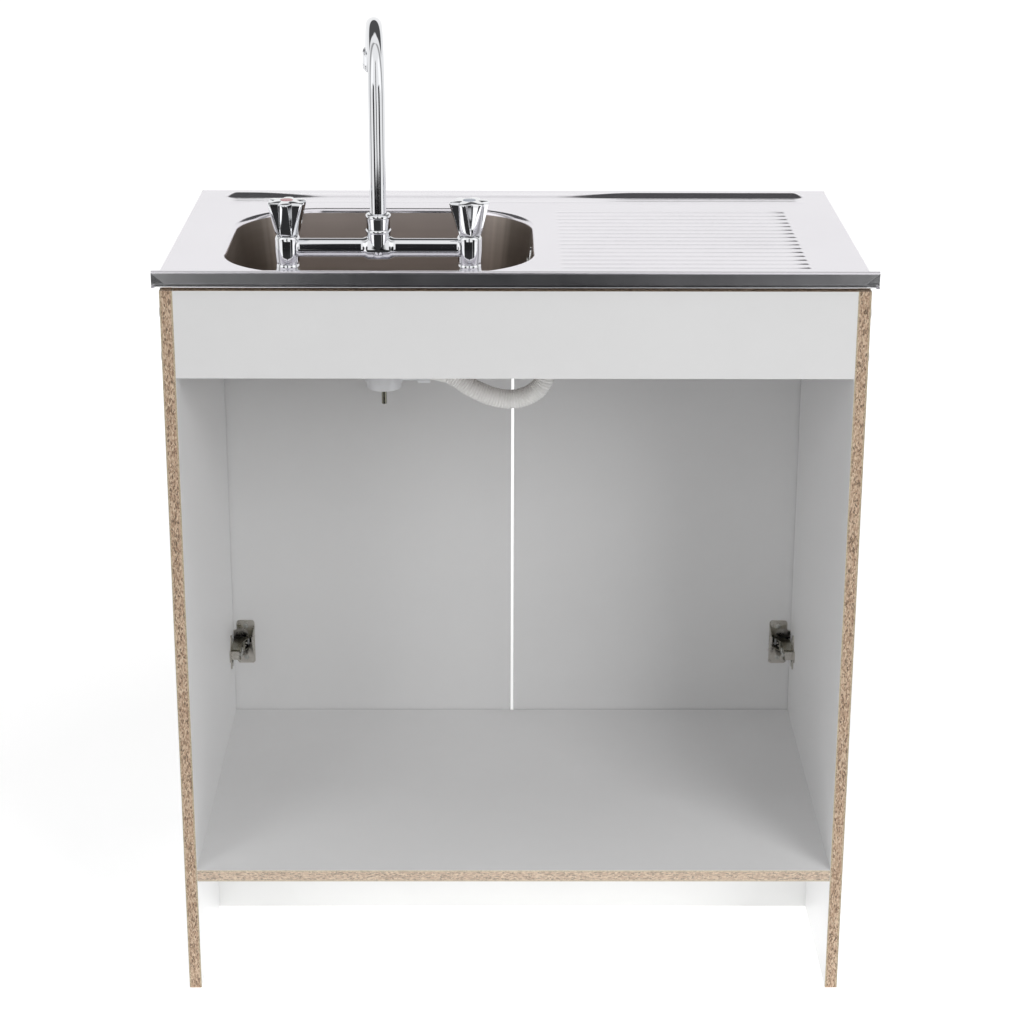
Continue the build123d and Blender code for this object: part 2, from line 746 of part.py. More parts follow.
# ---------------------------------------------------------------- waste and overflow
def waste_parts():
    """Strainer, seals, waste body with its side port and the central bolt."""
    x, y = bowl_centre_x, bowl_y
    flange_z = bowl_floor + waste_seal_thickness
    cup = waste_hole_radius - 0.6
    sump = flange_z - strainer_drop
    strainer = turned([(0, sump), (cup, sump), (cup, flange_z), (strainer_radius, flange_z),
                       (strainer_radius, flange_z + 0.5),
                       (strainer_radius - 3, flange_z + strainer_thickness),
                       (cup - strainer_thickness, flange_z + strainer_thickness),
                       (cup - strainer_thickness, sump + strainer_thickness),
                       (0, sump + strainer_thickness)], x, y)
    for count, radius in ((6, 9.0), (12, 16.5)):
        for i in range(count):
            angle = 2 * math.pi * i / count
            hx = x + radius * math.cos(angle)
            hy = y + radius * math.sin(angle)
            strainer -= rod((hx, hy, sump - 1), (hx, hy, sump + strainer_thickness + 1), strainer_hole_radius)
    strainer -= rod((x, y, sump - 1), (x, y, sump + 5), waste_bolt_radius)
    save("waste_strainer", strainer)
    seal = rod((x, y, bowl_floor), (x, y, flange_z), strainer_radius - 1)
    save("waste_top_seal", seal - rod((x, y, bowl_floor - 1), (x, y, flange_z + 1), waste_hole_radius + 0.3))
    seal_top = bowl_under
    body_top = seal_top - lower_seal_thickness
    low_seal = rod((x, y, body_top), (x, y, seal_top), waste_flange_radius - 2)
    hole = rod((x, y, body_top - 1), (x, y, seal_top + 1), waste_hole_radius + 1)
    save("waste_lower_seal", low_seal - hole)
    tail_end = bowl_under - tail_length
    shoulder = body_top - waste_flange_thickness
    collar_end = port_z - waste_collar_drop
    body = turned([(0, body_top), (waste_flange_radius, body_top), (waste_flange_radius, shoulder),
                   (waste_collar_radius + 5, shoulder - 3), (waste_collar_radius, shoulder - 9),
                   (waste_collar_radius, collar_end), (tail_radius, collar_end - 0.3),
                   (tail_radius, tail_end + 1), (tail_radius - 1, tail_end), (0, tail_end)], x, y)
    port_end = x - port_reach
    nut_end = port_end - port_nut_length
    body += rod((x, y, port_z), (port_end, y, port_z), port_radius)
    spigot_end = nut_end - port_spigot_length
    body += rod((port_end, y, port_z), (nut_end, y, port_z), spigot_radius)
    body += rod((nut_end, y, port_z), (spigot_end, y, port_z), port_spigot_radius)
    body -= rod((x, y, tail_end - 1), (x, y, body_top + 1), tail_bore)
    body -= rod((x, y, sump - 0.4), (x, y, body_top + 1), cup + 0.3)
    body -= rod((x, y, port_z), (spigot_end - 1, y, port_z), port_bore)
    hub_z = tail_end + 6
    spider = rod((x, y, hub_z), (x, y, hub_z + 7), waste_bolt_radius + 3)
    for angle in (90, 210, 330):
        spoke = Pos(tail_bore / 2, 0, 0) * Box(tail_bore + 1, 2.2, 7)
        rib = Pos(x, y, hub_z + 3.5) * Rot(0, 0, angle) * spoke
        spider += rib
    body += spider - rod((x, y, tail_end - 5), (x, y, body_top), waste_bolt_radius)
    body -= rod((x, y, hub_z - 1), (x, y, hub_z + 8), waste_bolt_radius)
    save("waste_body", body)
    seat = sump + strainer_thickness
    head = rod((x, y, seat), (x, y, seat + 3), waste_bolt_radius + 3)
    slot = block(x - 5, x + 5, y - 0.7, y + 0.7, seat + 1.6, seat + 4)
    bolt = rod((x, y, tail_end - waste_bolt_below_tail), (x, y, seat), waste_bolt_radius)
    save("waste_bolt", bolt + head - slot)
    nut = rod((port_end, y, port_z), (nut_end, y, port_z), port_nut_radius)
    for i in range(12):
        angle = 2 * math.pi * i / 12
        cy = y + (port_nut_radius + 1.4) * math.cos(angle)
        cz = port_z + (port_nut_radius + 1.4) * math.sin(angle)
        nut -= rod((port_end + 1, cy, cz), (nut_end - 1, cy, cz), 2.4)
    nut -= rod((port_end + 1, y, port_z), (nut_end - 1, y, port_z), spigot_radius)
    save("port_nut", nut)


def overflow_parts():
    """Slotted face inside the bowl, seal and elbow outside it, and the screw through them."""
    y, z = bowl_y, overflow_z
    tilt = math.radians(bowl_draft)
    normal = Vector(math.cos(tilt), 0, math.sin(tilt))
    inner_point = Vector(wall_inner_x, y, z)
    face_plane = Plane(origin=inner_point, z_dir=normal)
    face = Solid.make_cylinder(overflow_face_radius, overflow_face_thickness, face_plane)
    for dy in (-7.5, 7.5):
        slot = Pos(wall_inner_x, y + dy, z) * Rot(0, -bowl_draft, 0) * Box(12, overflow_slot_width * 1.6, 14)
        face -= slot
    screw_end = hose_top_x + 2.0
    face -= rod((wall_inner_x + 9, y, z), (screw_end, y, z), overflow_screw_radius)
    wall = bowl_block(-sheet, deck_under, bowl_depth)
    flange_x1 = wall_inner_x - sheet - 3.4
    seal = rod((wall_inner_x + 2, y, z), (flange_x1, y, z), overflow_seal_radius)
    seal = seal - rod((wall_inner_x + 3, y, z), (flange_x1 - 1, y, z), overflow_hole_radius) - wall
    save("overflow_seal", seal)
    elbow_x = hose_top_x
    low = z - elbow_shoulder_drop
    elbow = rod((flange_x1, y, z), (flange_x1 - overflow_flange, y, z), overflow_seal_radius)
    elbow += rod((flange_x1, y, z), (elbow_x, y, z), elbow_radius)
    elbow += rod((elbow_x, y, low), (elbow_x, y, z + elbow_radius), elbow_radius)
    elbow += rod((elbow_x, y, low - spigot_length), (elbow_x, y, low), spigot_radius)
    passage = spigot_radius - 2.0
    elbow -= rod((flange_x1 + 1, y, z), (elbow_x, y, z), passage)
    elbow -= rod((elbow_x, y, low - spigot_length - 1), (elbow_x, y, z + 3), passage)
    bridge = block(elbow_x + passage, flange_x1, y - passage - 0.6, y + passage + 0.6,
                   z - overflow_screw_radius - 1.2, z + overflow_screw_radius + 1.2)
    elbow += bridge
    elbow -= rod((wall_inner_x + 9, y, z), (screw_end, y, z), overflow_screw_radius)
    save("overflow_elbow", elbow)
    head_x = wall_inner_x + overflow_face_thickness / math.cos(tilt)
    screw = rod((head_x, y, z), (screw_end, y, z), overflow_screw_radius)
    screw += rod((head_x + 1.8, y, z), (head_x, y, z), 3.6)
    save("overflow_face", face - screw)
    screw -= block(head_x + 1.0, head_x + 3, y - 0.5, y + 0.5, z - 4, z + 4)
    save("overflow_screw", screw)


def overflow_hose():
    """Ribbed hose from the waste's side port, down in a bow and up to the overflow elbow."""
    start_x = bowl_centre_x - port_reach - port_nut_length
    end_z = overflow_z - elbow_shoulder_drop
    points = [Vector(start_x, bowl_y, port_z)]
    points += [Vector(bowl_centre_x - across, bowl_y, port_z + up) for across, up in hose_bow]
    points += [Vector(hose_top_x + across, bowl_y, port_z + up) for across, up in hose_rise]
    points.append(Vector(hose_top_x, bowl_y, end_z))
    radii = []
    for before, corner, after in zip(points, points[1:], points[2:]):
        first = corner - before
        second = after - corner
        turn = math.radians(first.get_angle(second))
        radii.append(0.45 * min(first.length, second.length) / math.tan(turn / 2))
    path = FilletPolyline(*points, radius=radii)
    length = path.length
    print("hose length", round(length, 1), "radii", [round(r, 1) for r in radii])
    count = int((length - 2 * hose_cuff_length) / hose_rib_pitch)
    pitch = (length - 2 * hose_cuff_length) / count
    stations = [(0.0, hose_radius), (hose_cuff_length - 1.0, hose_radius)]
    for i in range(count):
        at = hose_cuff_length + i * pitch
        stations += [(at, hose_valley_radius), (at + 0.25 * pitch, hose_radius),
                     (at + 0.6 * pitch, hose_radius), (at + 0.85 * pitch, hose_valley_radius)]
    stations += [(length - hose_cuff_length + 1.0, hose_radius), (length, hose_radius)]
    outer = []
    inner = []
    for at, radius in stations:
        where = path.position_at(at, position_mode=PositionMode.LENGTH)
        along = path.tangent_at(at, position_mode=PositionMode.LENGTH)
        plane = Plane(origin=where, x_dir=(0, 1, 0), z_dir=along)
        outer.append(plane * Circle(radius))
        inner.append(plane * Circle(hose_bore_radius))
    solid = loft(outer, ruled=True)
    bore = loft([inner[0]] + inner[1:-1:4] + [inner[-1]], ruled=True)
    hose = solid - bore
    crest = hose_radius ** 2
    valley = hose_valley_radius ** 2
    ribbed = 0.35 * crest + 0.15 * valley + 0.5 * (crest + valley + hose_radius * hose_valley_radius) / 3
    cuffs = 2 * hose_cuff_length
    section = (crest * cuffs + ribbed * (length - cuffs)) / length - hose_bore_radius ** 2
    print("hose ribs", count, "volume", round(hose.volume), "section x length",
          round(math.pi * section * length))
    return hose


# ---------------------------------------------------------------- tap
def valve_column(x):
    """One valve body of the tap with its inlet tail below the deck."""
    base = deck_top + base_seal_thickness
    end = deck_top - inlet_length
    top = deck_top + valve_top
    mid = deck_top + tap_bridge_height
    relief = deck_under - washer_thickness - backnut_height
    relief_radius = inlet_radius - inlet_relief_depth
    return turned([(0, end), (inlet_radius - 1, end), (inlet_radius, end + 1),
                   (inlet_radius, relief - inlet_relief), (relief_radius, relief - inlet_relief),
                   (relief_radius, relief), (inlet_radius, relief), (inlet_radius, base),
                   (base_radius, base), (base_radius, base + 2.4), (base_radius - 1.4, base + 4.6),
                   (13.4, base + 8), (12.7, mid - 18), (12.2, mid - 16.5), (12.9, mid - 15), (13.3, mid - 9),
                   (13.6, mid - 2), (13.4, mid + 4), (12.7, mid + 9.5), (bonnet_radius + 0.6, top),
                   (0, top)], x, tap_y)


def tap_body():
    """One casting: two valve bodies with inlet tails, the bridge tube and the spout's hub."""
    z = deck_top + tap_bridge_height
    xs = list(valve_xs.values())
    body = valve_column(xs[0]) + valve_column(xs[1])
    body += rod((xs[1], tap_y, z), (xs[0], tap_y, z), bridge_radius)
    bottom = deck_top + hub_bottom
    top = deck_top + hub_top
    body += turned([(0, bottom), (hub_radius - 4.5, bottom), (hub_radius, bottom + 5), (hub_radius, top - 3),
                    (hub_radius + hub_ring, top - 2.4), (hub_radius + hub_ring, top - 0.6),
                    (hub_radius, top), (0, top)], tap_centre_x, tap_y)
    for side in (-1, 1):
        collar = Solid.make_cone(hub_radius - 0.2, bridge_radius, hub_flare_length,
                                 Plane(origin=(tap_centre_x + side * (hub_radius - 1.6), tap_y, z),
                                       z_dir=(side, 0, 0)))
        body += collar
    for x, side in ((xs[0], -1), (xs[1], 1)):
        collar = Solid.make_cone(bridge_radius + 2.2, bridge_radius, 4.0,
                                 Plane(origin=(x + side * 11.6, tap_y, z), z_dir=(side, 0, 0)))
        body += collar
    for x in xs:
        seat = deck_top + seat_height
        body -= rod((x, tap_y, seat), (x, tap_y, deck_top + valve_top + 1), valve_bore)
        body -= rod((x, tap_y, deck_top - inlet_length - 1), (x, tap_y, seat + 1), inlet_bore - 1.2)
    body -= rod((xs[1] + 6, tap_y, z), (xs[0] - 6, tap_y, z), bridge_bore)
    body -= rod((tap_centre_x, tap_y, bottom + 6), (tap_centre_x, tap_y, top + 1), hub_bore)
    return body


def bonnet(x):
    """Bush that closes one valve body and guides its spindle."""
    top = deck_top + valve_top
    low = top - bonnet_depth
    bore = spindle_radius + spindle_clearance
    return turned([(bore, low), (valve_bore, low), (valve_bore, top), (bonnet_radius, top),
                   (bonnet_radius, top + bonnet_height), (bore, top + bonnet_height)], x, tap_y)


def valve_disc(x):
    """Stack of ceramic discs on the seat, opened by a quarter turn of the spindle."""
    seat = deck_top + seat_height
    return turned([(0, seat), (disc_radius, seat), (disc_radius, seat + 3.5), (disc_radius - 2, seat + 4),
                   (disc_radius - 2, seat + disc_height), (0, seat + disc_height)], x, tap_y)


def tap_handle(x, turn):
    """Tapered handle with six flutes, widest at its scalloped top."""
    foot = deck_top + valve_top + bonnet_height + handle_gap
    crown = foot + handle_height
    knob = turned([(0, foot), (handle_foot_radius - 0.8, foot), (handle_foot_radius, foot + 1.2),
                   (handle_top_radius, crown - 4.6), (handle_top_radius - 0.3, crown - 2.6),
                   (handle_top_radius - 2.4, crown - 1.2), (index_radius + 2, crown), (0, crown)], x, tap_y)
    reach_low = handle_foot_radius + 1.6
    reach_high = handle_top_radius + 5.2
    tilt = math.degrees(math.atan2(reach_high - reach_low, handle_height))
    slant = math.hypot(reach_high - reach_low, handle_height)
    for i in range(flute_count):
        flute = Cone(2.5, 8.2, slant + 8, align=(Align.CENTER, Align.CENTER, Align.MIN))
        placed = Pos(reach_low, 0, -0.5) * Rot(0, tilt, 0) * flute
        placed = Rot(0, 0, 90 + turn + i * 360 / flute_count) * placed
        knob -= Pos(x, tap_y, foot) * placed
    knob -= rod((x, tap_y, foot - 1), (x, tap_y, foot + spindle_engagement), spindle_radius)
    return knob - rod((x, tap_y, crown + index_rise - index_thickness), (x, tap_y, crown + 1), index_radius)


def index_cap(x):
    """Small round cap let into the handle's crown."""
    top = deck_top + valve_top + bonnet_height + handle_gap + handle_height + index_rise
    cap = rod((x, tap_y, top - index_thickness), (x, tap_y, top), index_radius)
    return fillet(cap.edges().group_by(Axis.Z)[-1], 0.4)


def valves():
    """Both valves: bonnets and discs in pairs, spindle, handle and cap by side."""
    seat = deck_top + seat_height
    foot = deck_top + valve_top + bonnet_height + handle_gap
    save("valve_bonnets", group([bonnet(x) for x in valve_xs.values()]))
    save("valve_discs", group([valve_disc(x) for x in valve_xs.values()]))
    for side, x in valve_xs.items():
        spindle = rod((x, tap_y, seat + disc_height), (x, tap_y, foot + spindle_engagement), spindle_radius)
        save("valve_spindle_" + side, spindle)
        save("tap_handle_" + side, tap_handle(x, handle_turn[side]))
        save("index_cap_" + side, index_cap(x))


def base_fittings():
    """Seals above the deck, washers and backnuts below it, on both inlet tails."""
    seals = []
    washers = []
    nuts = []
    for x in valve_xs.values():
        seal = rod((x, tap_y, deck_top), (x, tap_y, deck_top + base_seal_thickness), base_radius - 0.6)
        seals.append(seal - rod((x, tap_y, deck_top - 1), (x, tap_y, deck_top + 3), inlet_radius))
        low = deck_under - washer_thickness
        washer = rod((x, tap_y, low), (x, tap_y, deck_under), washer_radius)
        washers.append(washer - rod((x, tap_y, low - 1), (x, tap_y, deck_under + 1), inlet_radius))
        nuts.append(hexagon_nut(x, tap_y, low - backnut_height, backnut_height, backnut_flats, inlet_radius))
    save("tap_base_seals", group(seals))
    save("tap_washers", group(washers))
    save("tap_backnuts", group(nuts))


def turned_spout(part):
    """A piece of the spout, swung from straight ahead to its place at rest."""
    return Pos(tap_centre_x, tap_y, 0) * Rot(0, 0, spout_turn) * Pos(-tap_centre_x, -tap_y, 0) * part


def spout_parts():
    """Swan-neck spout on its foot, the nut that holds it, its seal ring and the aerator."""
    x = tap_centre_x
    foot_z = deck_top + hub_bottom + 8
    rise = deck_top + spout_rise
    hub_z = deck_top + hub_top
    centre_y = tap_y - spout_arc_radius
    angle = math.radians(spout_arc_angle)
    middle = math.radians(spout_arc_angle / 2)
    radius = spout_arc_radius
    end = Vector(x, centre_y + radius * math.cos(angle), rise + radius * math.sin(angle))
    bend = Vector(x, centre_y + radius * math.cos(middle), rise + radius * math.sin(middle))
    along = Vector(0, -math.sin(angle), math.cos(angle))
    tip = end + along * aerator_engagement
    path = Wire([Line((x, tap_y, foot_z), (x, tap_y, rise)), ThreePointArc((x, tap_y, rise), bend, end),
                 Line(end, tip)])
    section = Plane(origin=(x, tap_y, foot_z), z_dir=(0, 0, 1))
    tube = sweep(section * (Circle(spout_radius) - Circle(spout_bore)), path)
    foot_radius = hub_bore - spout_foot_clearance
    foot = rod((x, tap_y, foot_z), (x, tap_y, hub_z - 6), foot_radius) - rod(
        (x, tap_y, foot_z - 1), (x, tap_y, hub_z), spout_bore)
    tube += foot
    groove = rod((x, tap_y, foot_z + 5), (x, tap_y, foot_z + 5 + spout_seal_width), foot_radius + 1) - rod(
        (x, tap_y, foot_z + 4), (x, tap_y, foot_z + 6 + spout_seal_width), foot_radius - 1.2)
    tube -= groove
    save("spout", turned_spout(tube))
    ring = rod((x, tap_y, foot_z + 5), (x, tap_y, foot_z + 5 + spout_seal_width), foot_radius) - rod(
        (x, tap_y, foot_z + 4), (x, tap_y, foot_z + 6 + spout_seal_width), foot_radius - 1.2)
    save("spout_seal", ring)
    nut_top = hub_z + spout_nut_height
    bore = spout_radius + spout_foot_clearance
    nut = turned([(bore, hub_z), (hub_radius - 0.6, hub_z), (hub_radius - 0.6, hub_z + 1.6),
                  (spout_nut_radius, hub_z + 2.4), (spout_nut_radius, nut_top - 4.6),
                  (spout_nut_radius + 0.8, nut_top - 4.0), (spout_nut_radius + 0.8, nut_top - 1.0),
                  (spout_nut_radius, nut_top - 0.2), (bore + 1.6, nut_top), (bore, nut_top - 1.0)], x, tap_y)
    save("spout_nut", nut)
    plane = Plane(origin=end, x_dir=(1, 0, 0), z_dir=along)
    length = aerator_length
    shell = plane * Pos(0, 0, length / 2) * Cylinder(aerator_radius, length)
    shell = fillet(shell.edges().filter_by(GeomType.CIRCLE), 1.6)
    shell -= plane * Pos(0, 0, aerator_engagement / 2 - 0.5) * Cylinder(spout_radius, aerator_engagement + 1)
    shell -= plane * Pos(0, 0, length / 2) * Cylinder(spout_bore, length * 2)
    for i in range(24):
        turn = 360.0 / 24 * i
        shell -= plane * Rot(0, 0, turn) * Pos(aerator_radius + 0.5, 0, length - 6.0) * Cylinder(0.9, 7.0)
    save("aerator", turned_spout(shell))
    mesh = plane * Pos(0, 0, length - 3.5) * Cylinder(spout_bore, 3.0)
    holes = [plane * Rot(0, 0, 60.0 * i) * Pos(4.2, 0, length - 3.5) * Cylinder(1.1, 5.0) for i in range(6)]
    for hole in holes:
        mesh -= hole
    save("aerator_insert", turned_spout(mesh))


def main():
    """Builds every sub-part of the unit."""
    os.makedirs("parts", exist_ok=True)
    cabinet()
    hinges()
    doors()
    sink()
    waste_parts()
    overflow_parts()
    save("overflow_hose", overflow_hose())
    save("tap_body", tap_body())
    valves()
    base_fittings()
    spout_parts()


main()
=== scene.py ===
import math
import bpy
import bmesh
from mathutils import Matrix, Vector


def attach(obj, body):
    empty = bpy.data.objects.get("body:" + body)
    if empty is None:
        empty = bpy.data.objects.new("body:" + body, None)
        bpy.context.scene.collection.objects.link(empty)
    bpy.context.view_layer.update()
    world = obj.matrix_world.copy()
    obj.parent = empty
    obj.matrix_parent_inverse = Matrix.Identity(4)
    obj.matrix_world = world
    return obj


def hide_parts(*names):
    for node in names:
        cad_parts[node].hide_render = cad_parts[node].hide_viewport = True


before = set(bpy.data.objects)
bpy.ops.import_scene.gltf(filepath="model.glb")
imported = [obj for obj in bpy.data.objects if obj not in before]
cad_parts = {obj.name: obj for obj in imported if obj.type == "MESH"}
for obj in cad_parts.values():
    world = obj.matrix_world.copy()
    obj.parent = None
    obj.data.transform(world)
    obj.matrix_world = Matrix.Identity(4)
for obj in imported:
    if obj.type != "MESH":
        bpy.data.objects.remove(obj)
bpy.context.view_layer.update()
print("frame loaded:", len(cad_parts), "nodes")

mm = 0.001
rearY = 257.5 * mm      # rear edges of the side panels
frontY = -217.5 * mm
deckTop = 876.0 * mm
boardThickness = 15.0 * mm


# ---- small mesh tools
def addObject(name, mesh, material=None):
    piece = bpy.data.objects.new(name, mesh)
    bpy.context.scene.collection.objects.link(piece)
    if material is not None:
        mesh.materials.clear()
        mesh.materials.append(material)
    return piece


def meshFrom(name, verts, faces):
    mesh = bpy.data.meshes.new(name)
    mesh.from_pydata([tuple(v) for v in verts], [], faces)
    mesh.validate()
    return mesh


def shadeByAngle(mesh, degrees):
    mesh.shade_smooth()
    mesh.set_sharp_from_angle(angle=math.radians(degrees))


def outward(mesh):
    # doubles merged, then every face turned outwards
    work = bmesh.new()
    work.from_mesh(mesh)
    bmesh.ops.remove_doubles(work, verts=work.verts, dist=0.001 * mm)
    bmesh.ops.recalc_face_normals(work, faces=work.faces)
    work.to_mesh(mesh)
    work.free()


def gridFaces(rows, columns, closeColumns, offset=0):
    faces = []
    span = columns if closeColumns else columns - 1
    for r in range(rows - 1):
        for c in range(span):
            d = (c + 1) % columns
            faces.append((offset + r * columns + c, offset + r * columns + d,
                          offset + (r + 1) * columns + d, offset + (r + 1) * columns + c))
    return faces


def latheInto(verts, faces, profile, origin, axis=(0, 0, 1), steps=72):
    # profile is a list of (radius, height) along the axis; both ends are closed on the axis
    turn = Vector(axis).to_track_quat("Z", "Y").to_matrix()
    start = len(verts)
    for radius, height in profile:
        for s in range(steps):
            a = 2 * math.pi * s / steps
            verts.append(Vector(origin) + turn @ Vector((radius * math.cos(a), radius * math.sin(a), height)))
    faces += gridFaces(len(profile), steps, True, start)
    for ring, height in ((0, profile[0][1]), (len(profile) - 1, profile[-1][1])):
        centre = len(verts)
        verts.append(Vector(origin) + turn @ Vector((0, 0, height)))
        for s in range(steps):
            a = start + ring * steps + s
            b = start + ring * steps + (s + 1) % steps
            faces.append((a, b, centre))


def arcPoints(centre, radius, fromDeg, toDeg, steps):
    return [(centre[0] + radius * math.cos(math.radians(fromDeg + (toDeg - fromDeg) * i / steps)),
             centre[1] + radius * math.sin(math.radians(fromDeg + (toDeg - fromDeg) * i / steps)))
            for i in range(steps + 1)]


def ready(piece, body, slotName, *nodes):
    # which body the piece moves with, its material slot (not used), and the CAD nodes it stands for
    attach(piece, body)
    if nodes:
        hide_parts(*nodes)


def camelName(node):
    first, *others = node.split("_")
    return first + "".join(word.title() for word in others)


def cadCopy(node, material, body, slotName, bevel=0.0, angle=32, name=None):
    # a merged copy of the CAD mesh, with eased edges and face-weighted normals
    name = name or camelName(node)
    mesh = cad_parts[node].data.copy()
    mesh.name = name
    work = bmesh.new()
    work.from_mesh(mesh)
    bmesh.ops.remove_doubles(work, verts=work.verts, dist=2e-6)
    bmesh.ops.dissolve_degenerate(work, edges=work.edges, dist=1e-7)
    if bevel:
        bmesh.ops.dissolve_limit(work, angle_limit=math.radians(0.6), verts=work.verts, edges=work.edges)
    work.to_mesh(mesh)
    work.free()
    piece = addObject(name, mesh, material)
    shadeByAngle(mesh, angle)
    if bevel:
        ease = piece.modifiers.new("easedEdges", "BEVEL")
        ease.width = bevel
        ease.segments = 2
        ease.limit_method = "ANGLE"
        ease.angle_limit = math.radians(angle)
        ease.harden_normals = True
    even = piece.modifiers.new("evenNormals", "WEIGHTED_NORMAL")
    even.keep_sharp = True
    ready(piece, body, slotName, node)


# ---- shader tools
def shaderGroup(name, inputs, outputs):
    tree = bpy.data.node_groups.new(name, "ShaderNodeTree")
    for label, kind, value in inputs:
        socket = tree.interface.new_socket(name=label, in_out="INPUT", socket_type=kind)
        if value is not None:
            socket.default_value = value
    for label, kind in outputs:
        tree.interface.new_socket(name=label, in_out="OUTPUT", socket_type=kind)
    return tree, tree.nodes.new("NodeGroupInput"), tree.nodes.new("NodeGroupOutput")


def put(tree, kind, **settings):
    node = tree.nodes.new(kind)
    for key, value in settings.items():
        setattr(node, key, value)
    return node


def wire(source, target):
    source.id_data.links.new(source, target)


def feed(socket, value):
    # a socket is linked to another one, or given a plain value
    if isinstance(value, bpy.types.NodeSocket):
        wire(value, socket)
    else:
        socket.default_value = value


def mathNode(tree, operation, a, b=0.0):
    node = put(tree, "ShaderNodeMath", operation=operation)
    feed(node.inputs[0], a)
    feed(node.inputs[1], b)
    return node.outputs[0]


def noiseNode(tree, vector, scale, detail=2.0, roughness=0.5, distortion=0.0):
    node = put(tree, "ShaderNodeTexNoise")
    wire(vector, node.inputs["Vector"])
    node.inputs["Scale"].default_value = scale
    node.inputs["Detail"].default_value = detail
    node.inputs["Roughness"].default_value = roughness
    node.inputs["Distortion"].default_value = distortion
    return node.outputs["Fac"]


def stretched(tree, vector, scale):
    node = put(tree, "ShaderNodeMapping")
    wire(vector, node.inputs["Vector"])
    node.inputs["Scale"].default_value = scale
    return node.outputs["Vector"]


def rampNode(tree, factor, stops):
    node = put(tree, "ShaderNodeValToRGB")
    ramp = node.color_ramp
    while len(ramp.elements) < len(stops):
        ramp.elements.new(0.5)
    for element, (place, colour) in zip(ramp.elements, stops):
        element.position = place
        element.color = (*colour, 1.0)
    wire(factor, node.inputs["Fac"])
    return node.outputs["Color"]


def rangeNode(tree, value, fromLow, fromHigh, toLow=0.0, toHigh=1.0):
    node = put(tree, "ShaderNodeMapRange", clamp=True)
    feed(node.inputs["Value"], value)
    limits = {"From Min": fromLow, "From Max": fromHigh, "To Min": toLow, "To Max": toHigh}
    for label, number in limits.items():
        feed(node.inputs[label], number)
    return node.outputs["Result"]


def mixColour(tree, factor, a, b, blend="MIX"):
    node = put(tree, "ShaderNodeMix", data_type="RGBA", blend_type=blend)
    feed(node.inputs[0], factor)
    for socket, value in ((node.inputs[6], a), (node.inputs[7], b)):
        feed(socket, value if isinstance(value, bpy.types.NodeSocket) else (*value, 1.0))
    return node.outputs[2]


def useGroup(tree, group, values):
    node = put(tree, "ShaderNodeGroup", node_tree=group)
    for label, value in values.items():
        feed(node.inputs[label], value)
    return node


def newMaterial(name, **constants):
    material = bpy.data.materials.new(name)
    material.use_nodes = True
    tree = material.node_tree
    tree.nodes.clear()
    shader = put(tree, "ShaderNodeBsdfPrincipled")
    end = put(tree, "ShaderNodeOutputMaterial")
    wire(shader.outputs["BSDF"], end.inputs["Surface"])
    for label, value in constants.items():
        shader.inputs[label.replace("_", " ")].default_value = value
    place = put(tree, "ShaderNodeTexCoord")
    return material, tree, shader, place


def bumpInto(tree, shader, height, strength, distance):
    bump = put(tree, "ShaderNodeBump")
    bump.inputs["Strength"].default_value = strength
    bump.inputs["Distance"].default_value = distance
    wire(height, bump.inputs["Height"])
    wire(bump.outputs["Normal"], shader.inputs["Normal"])


# handling marks: slow changes of gloss and tone that every finish gets
marksGroup, groupIn, groupOut = shaderGroup(
    "handlingMarks",
    [("Vector", "NodeSocketVector", None), ("Scale", "NodeSocketFloat", 6.0), ("Low", "NodeSocketFloat", 0.2),
     ("High", "NodeSocketFloat", 0.3)],
    [("Roughness", "NodeSocketFloat"), ("Tone", "NodeSocketFloat")])
scaled = put(marksGroup, "ShaderNodeVectorMath", operation="SCALE")
wire(groupIn.outputs["Vector"], scaled.inputs[0])
wire(groupIn.outputs["Scale"], scaled.inputs["Scale"])
smudge = noiseNode(marksGroup, scaled.outputs[0], 1.0, 4.0, 0.6, 0.4)
fine = noiseNode(marksGroup, scaled.outputs[0], 14.0, 3.0, 0.6)
both = mathNode(marksGroup, "ADD", mathNode(marksGroup, "MULTIPLY", smudge, 0.75),
                mathNode(marksGroup, "MULTIPLY", fine, 0.25))
wire(rangeNode(marksGroup, both, 0.35, 0.65, groupIn.outputs["Low"], groupIn.outputs["High"]),
     groupOut.inputs["Roughness"])
wire(rangeNode(marksGroup, both, 0.3, 0.7, 0.97, 1.0), groupOut.inputs["Tone"])

# chipboard: flat flakes in a coarse core, fine dust near both faces of the board
chipGroup, groupIn, groupOut = shaderGroup(
    "chipboard",
    [("Vector", "NodeSocketVector", None), ("Depth", "NodeSocketFloat", 0.0)],
    [("Color", "NodeSocketColor"), ("Height", "NodeSocketFloat")])
flakes = put(chipGroup, "ShaderNodeTexVoronoi", feature="F1")
flakes.inputs["Scale"].default_value = 640.0
flakes.inputs["Randomness"].default_value = 1.0
warp = put(chipGroup, "ShaderNodeTexNoise")
warp.inputs["Scale"].default_value = 520.0
warp.inputs["Detail"].default_value = 3.0
wire(groupIn.outputs["Vector"], warp.inputs["Vector"])
shift = put(chipGroup, "ShaderNodeVectorMath", operation="MULTIPLY_ADD")
wire(warp.outputs["Color"], shift.inputs[0])
shift.inputs[1].default_value = (0.0018, 0.0018, 0.0018)
wire(groupIn.outputs["Vector"], shift.inputs[2])
wire(shift.outputs[0], flakes.inputs["Vector"])
tint = put(chipGroup, "ShaderNodeSeparateColor")
wire(flakes.outputs["Color"], tint.inputs[0])
core = rampNode(chipGroup, tint.outputs[0], [
    (0.0, (0.07, 0.035, 0.02)), (0.14, (0.17, 0.085, 0.05)), (0.32, (0.38, 0.23, 0.15)),
    (0.6, (0.54, 0.37, 0.26)), (0.85, (0.74, 0.59, 0.44)), (1.0, (0.46, 0.28, 0.19))])
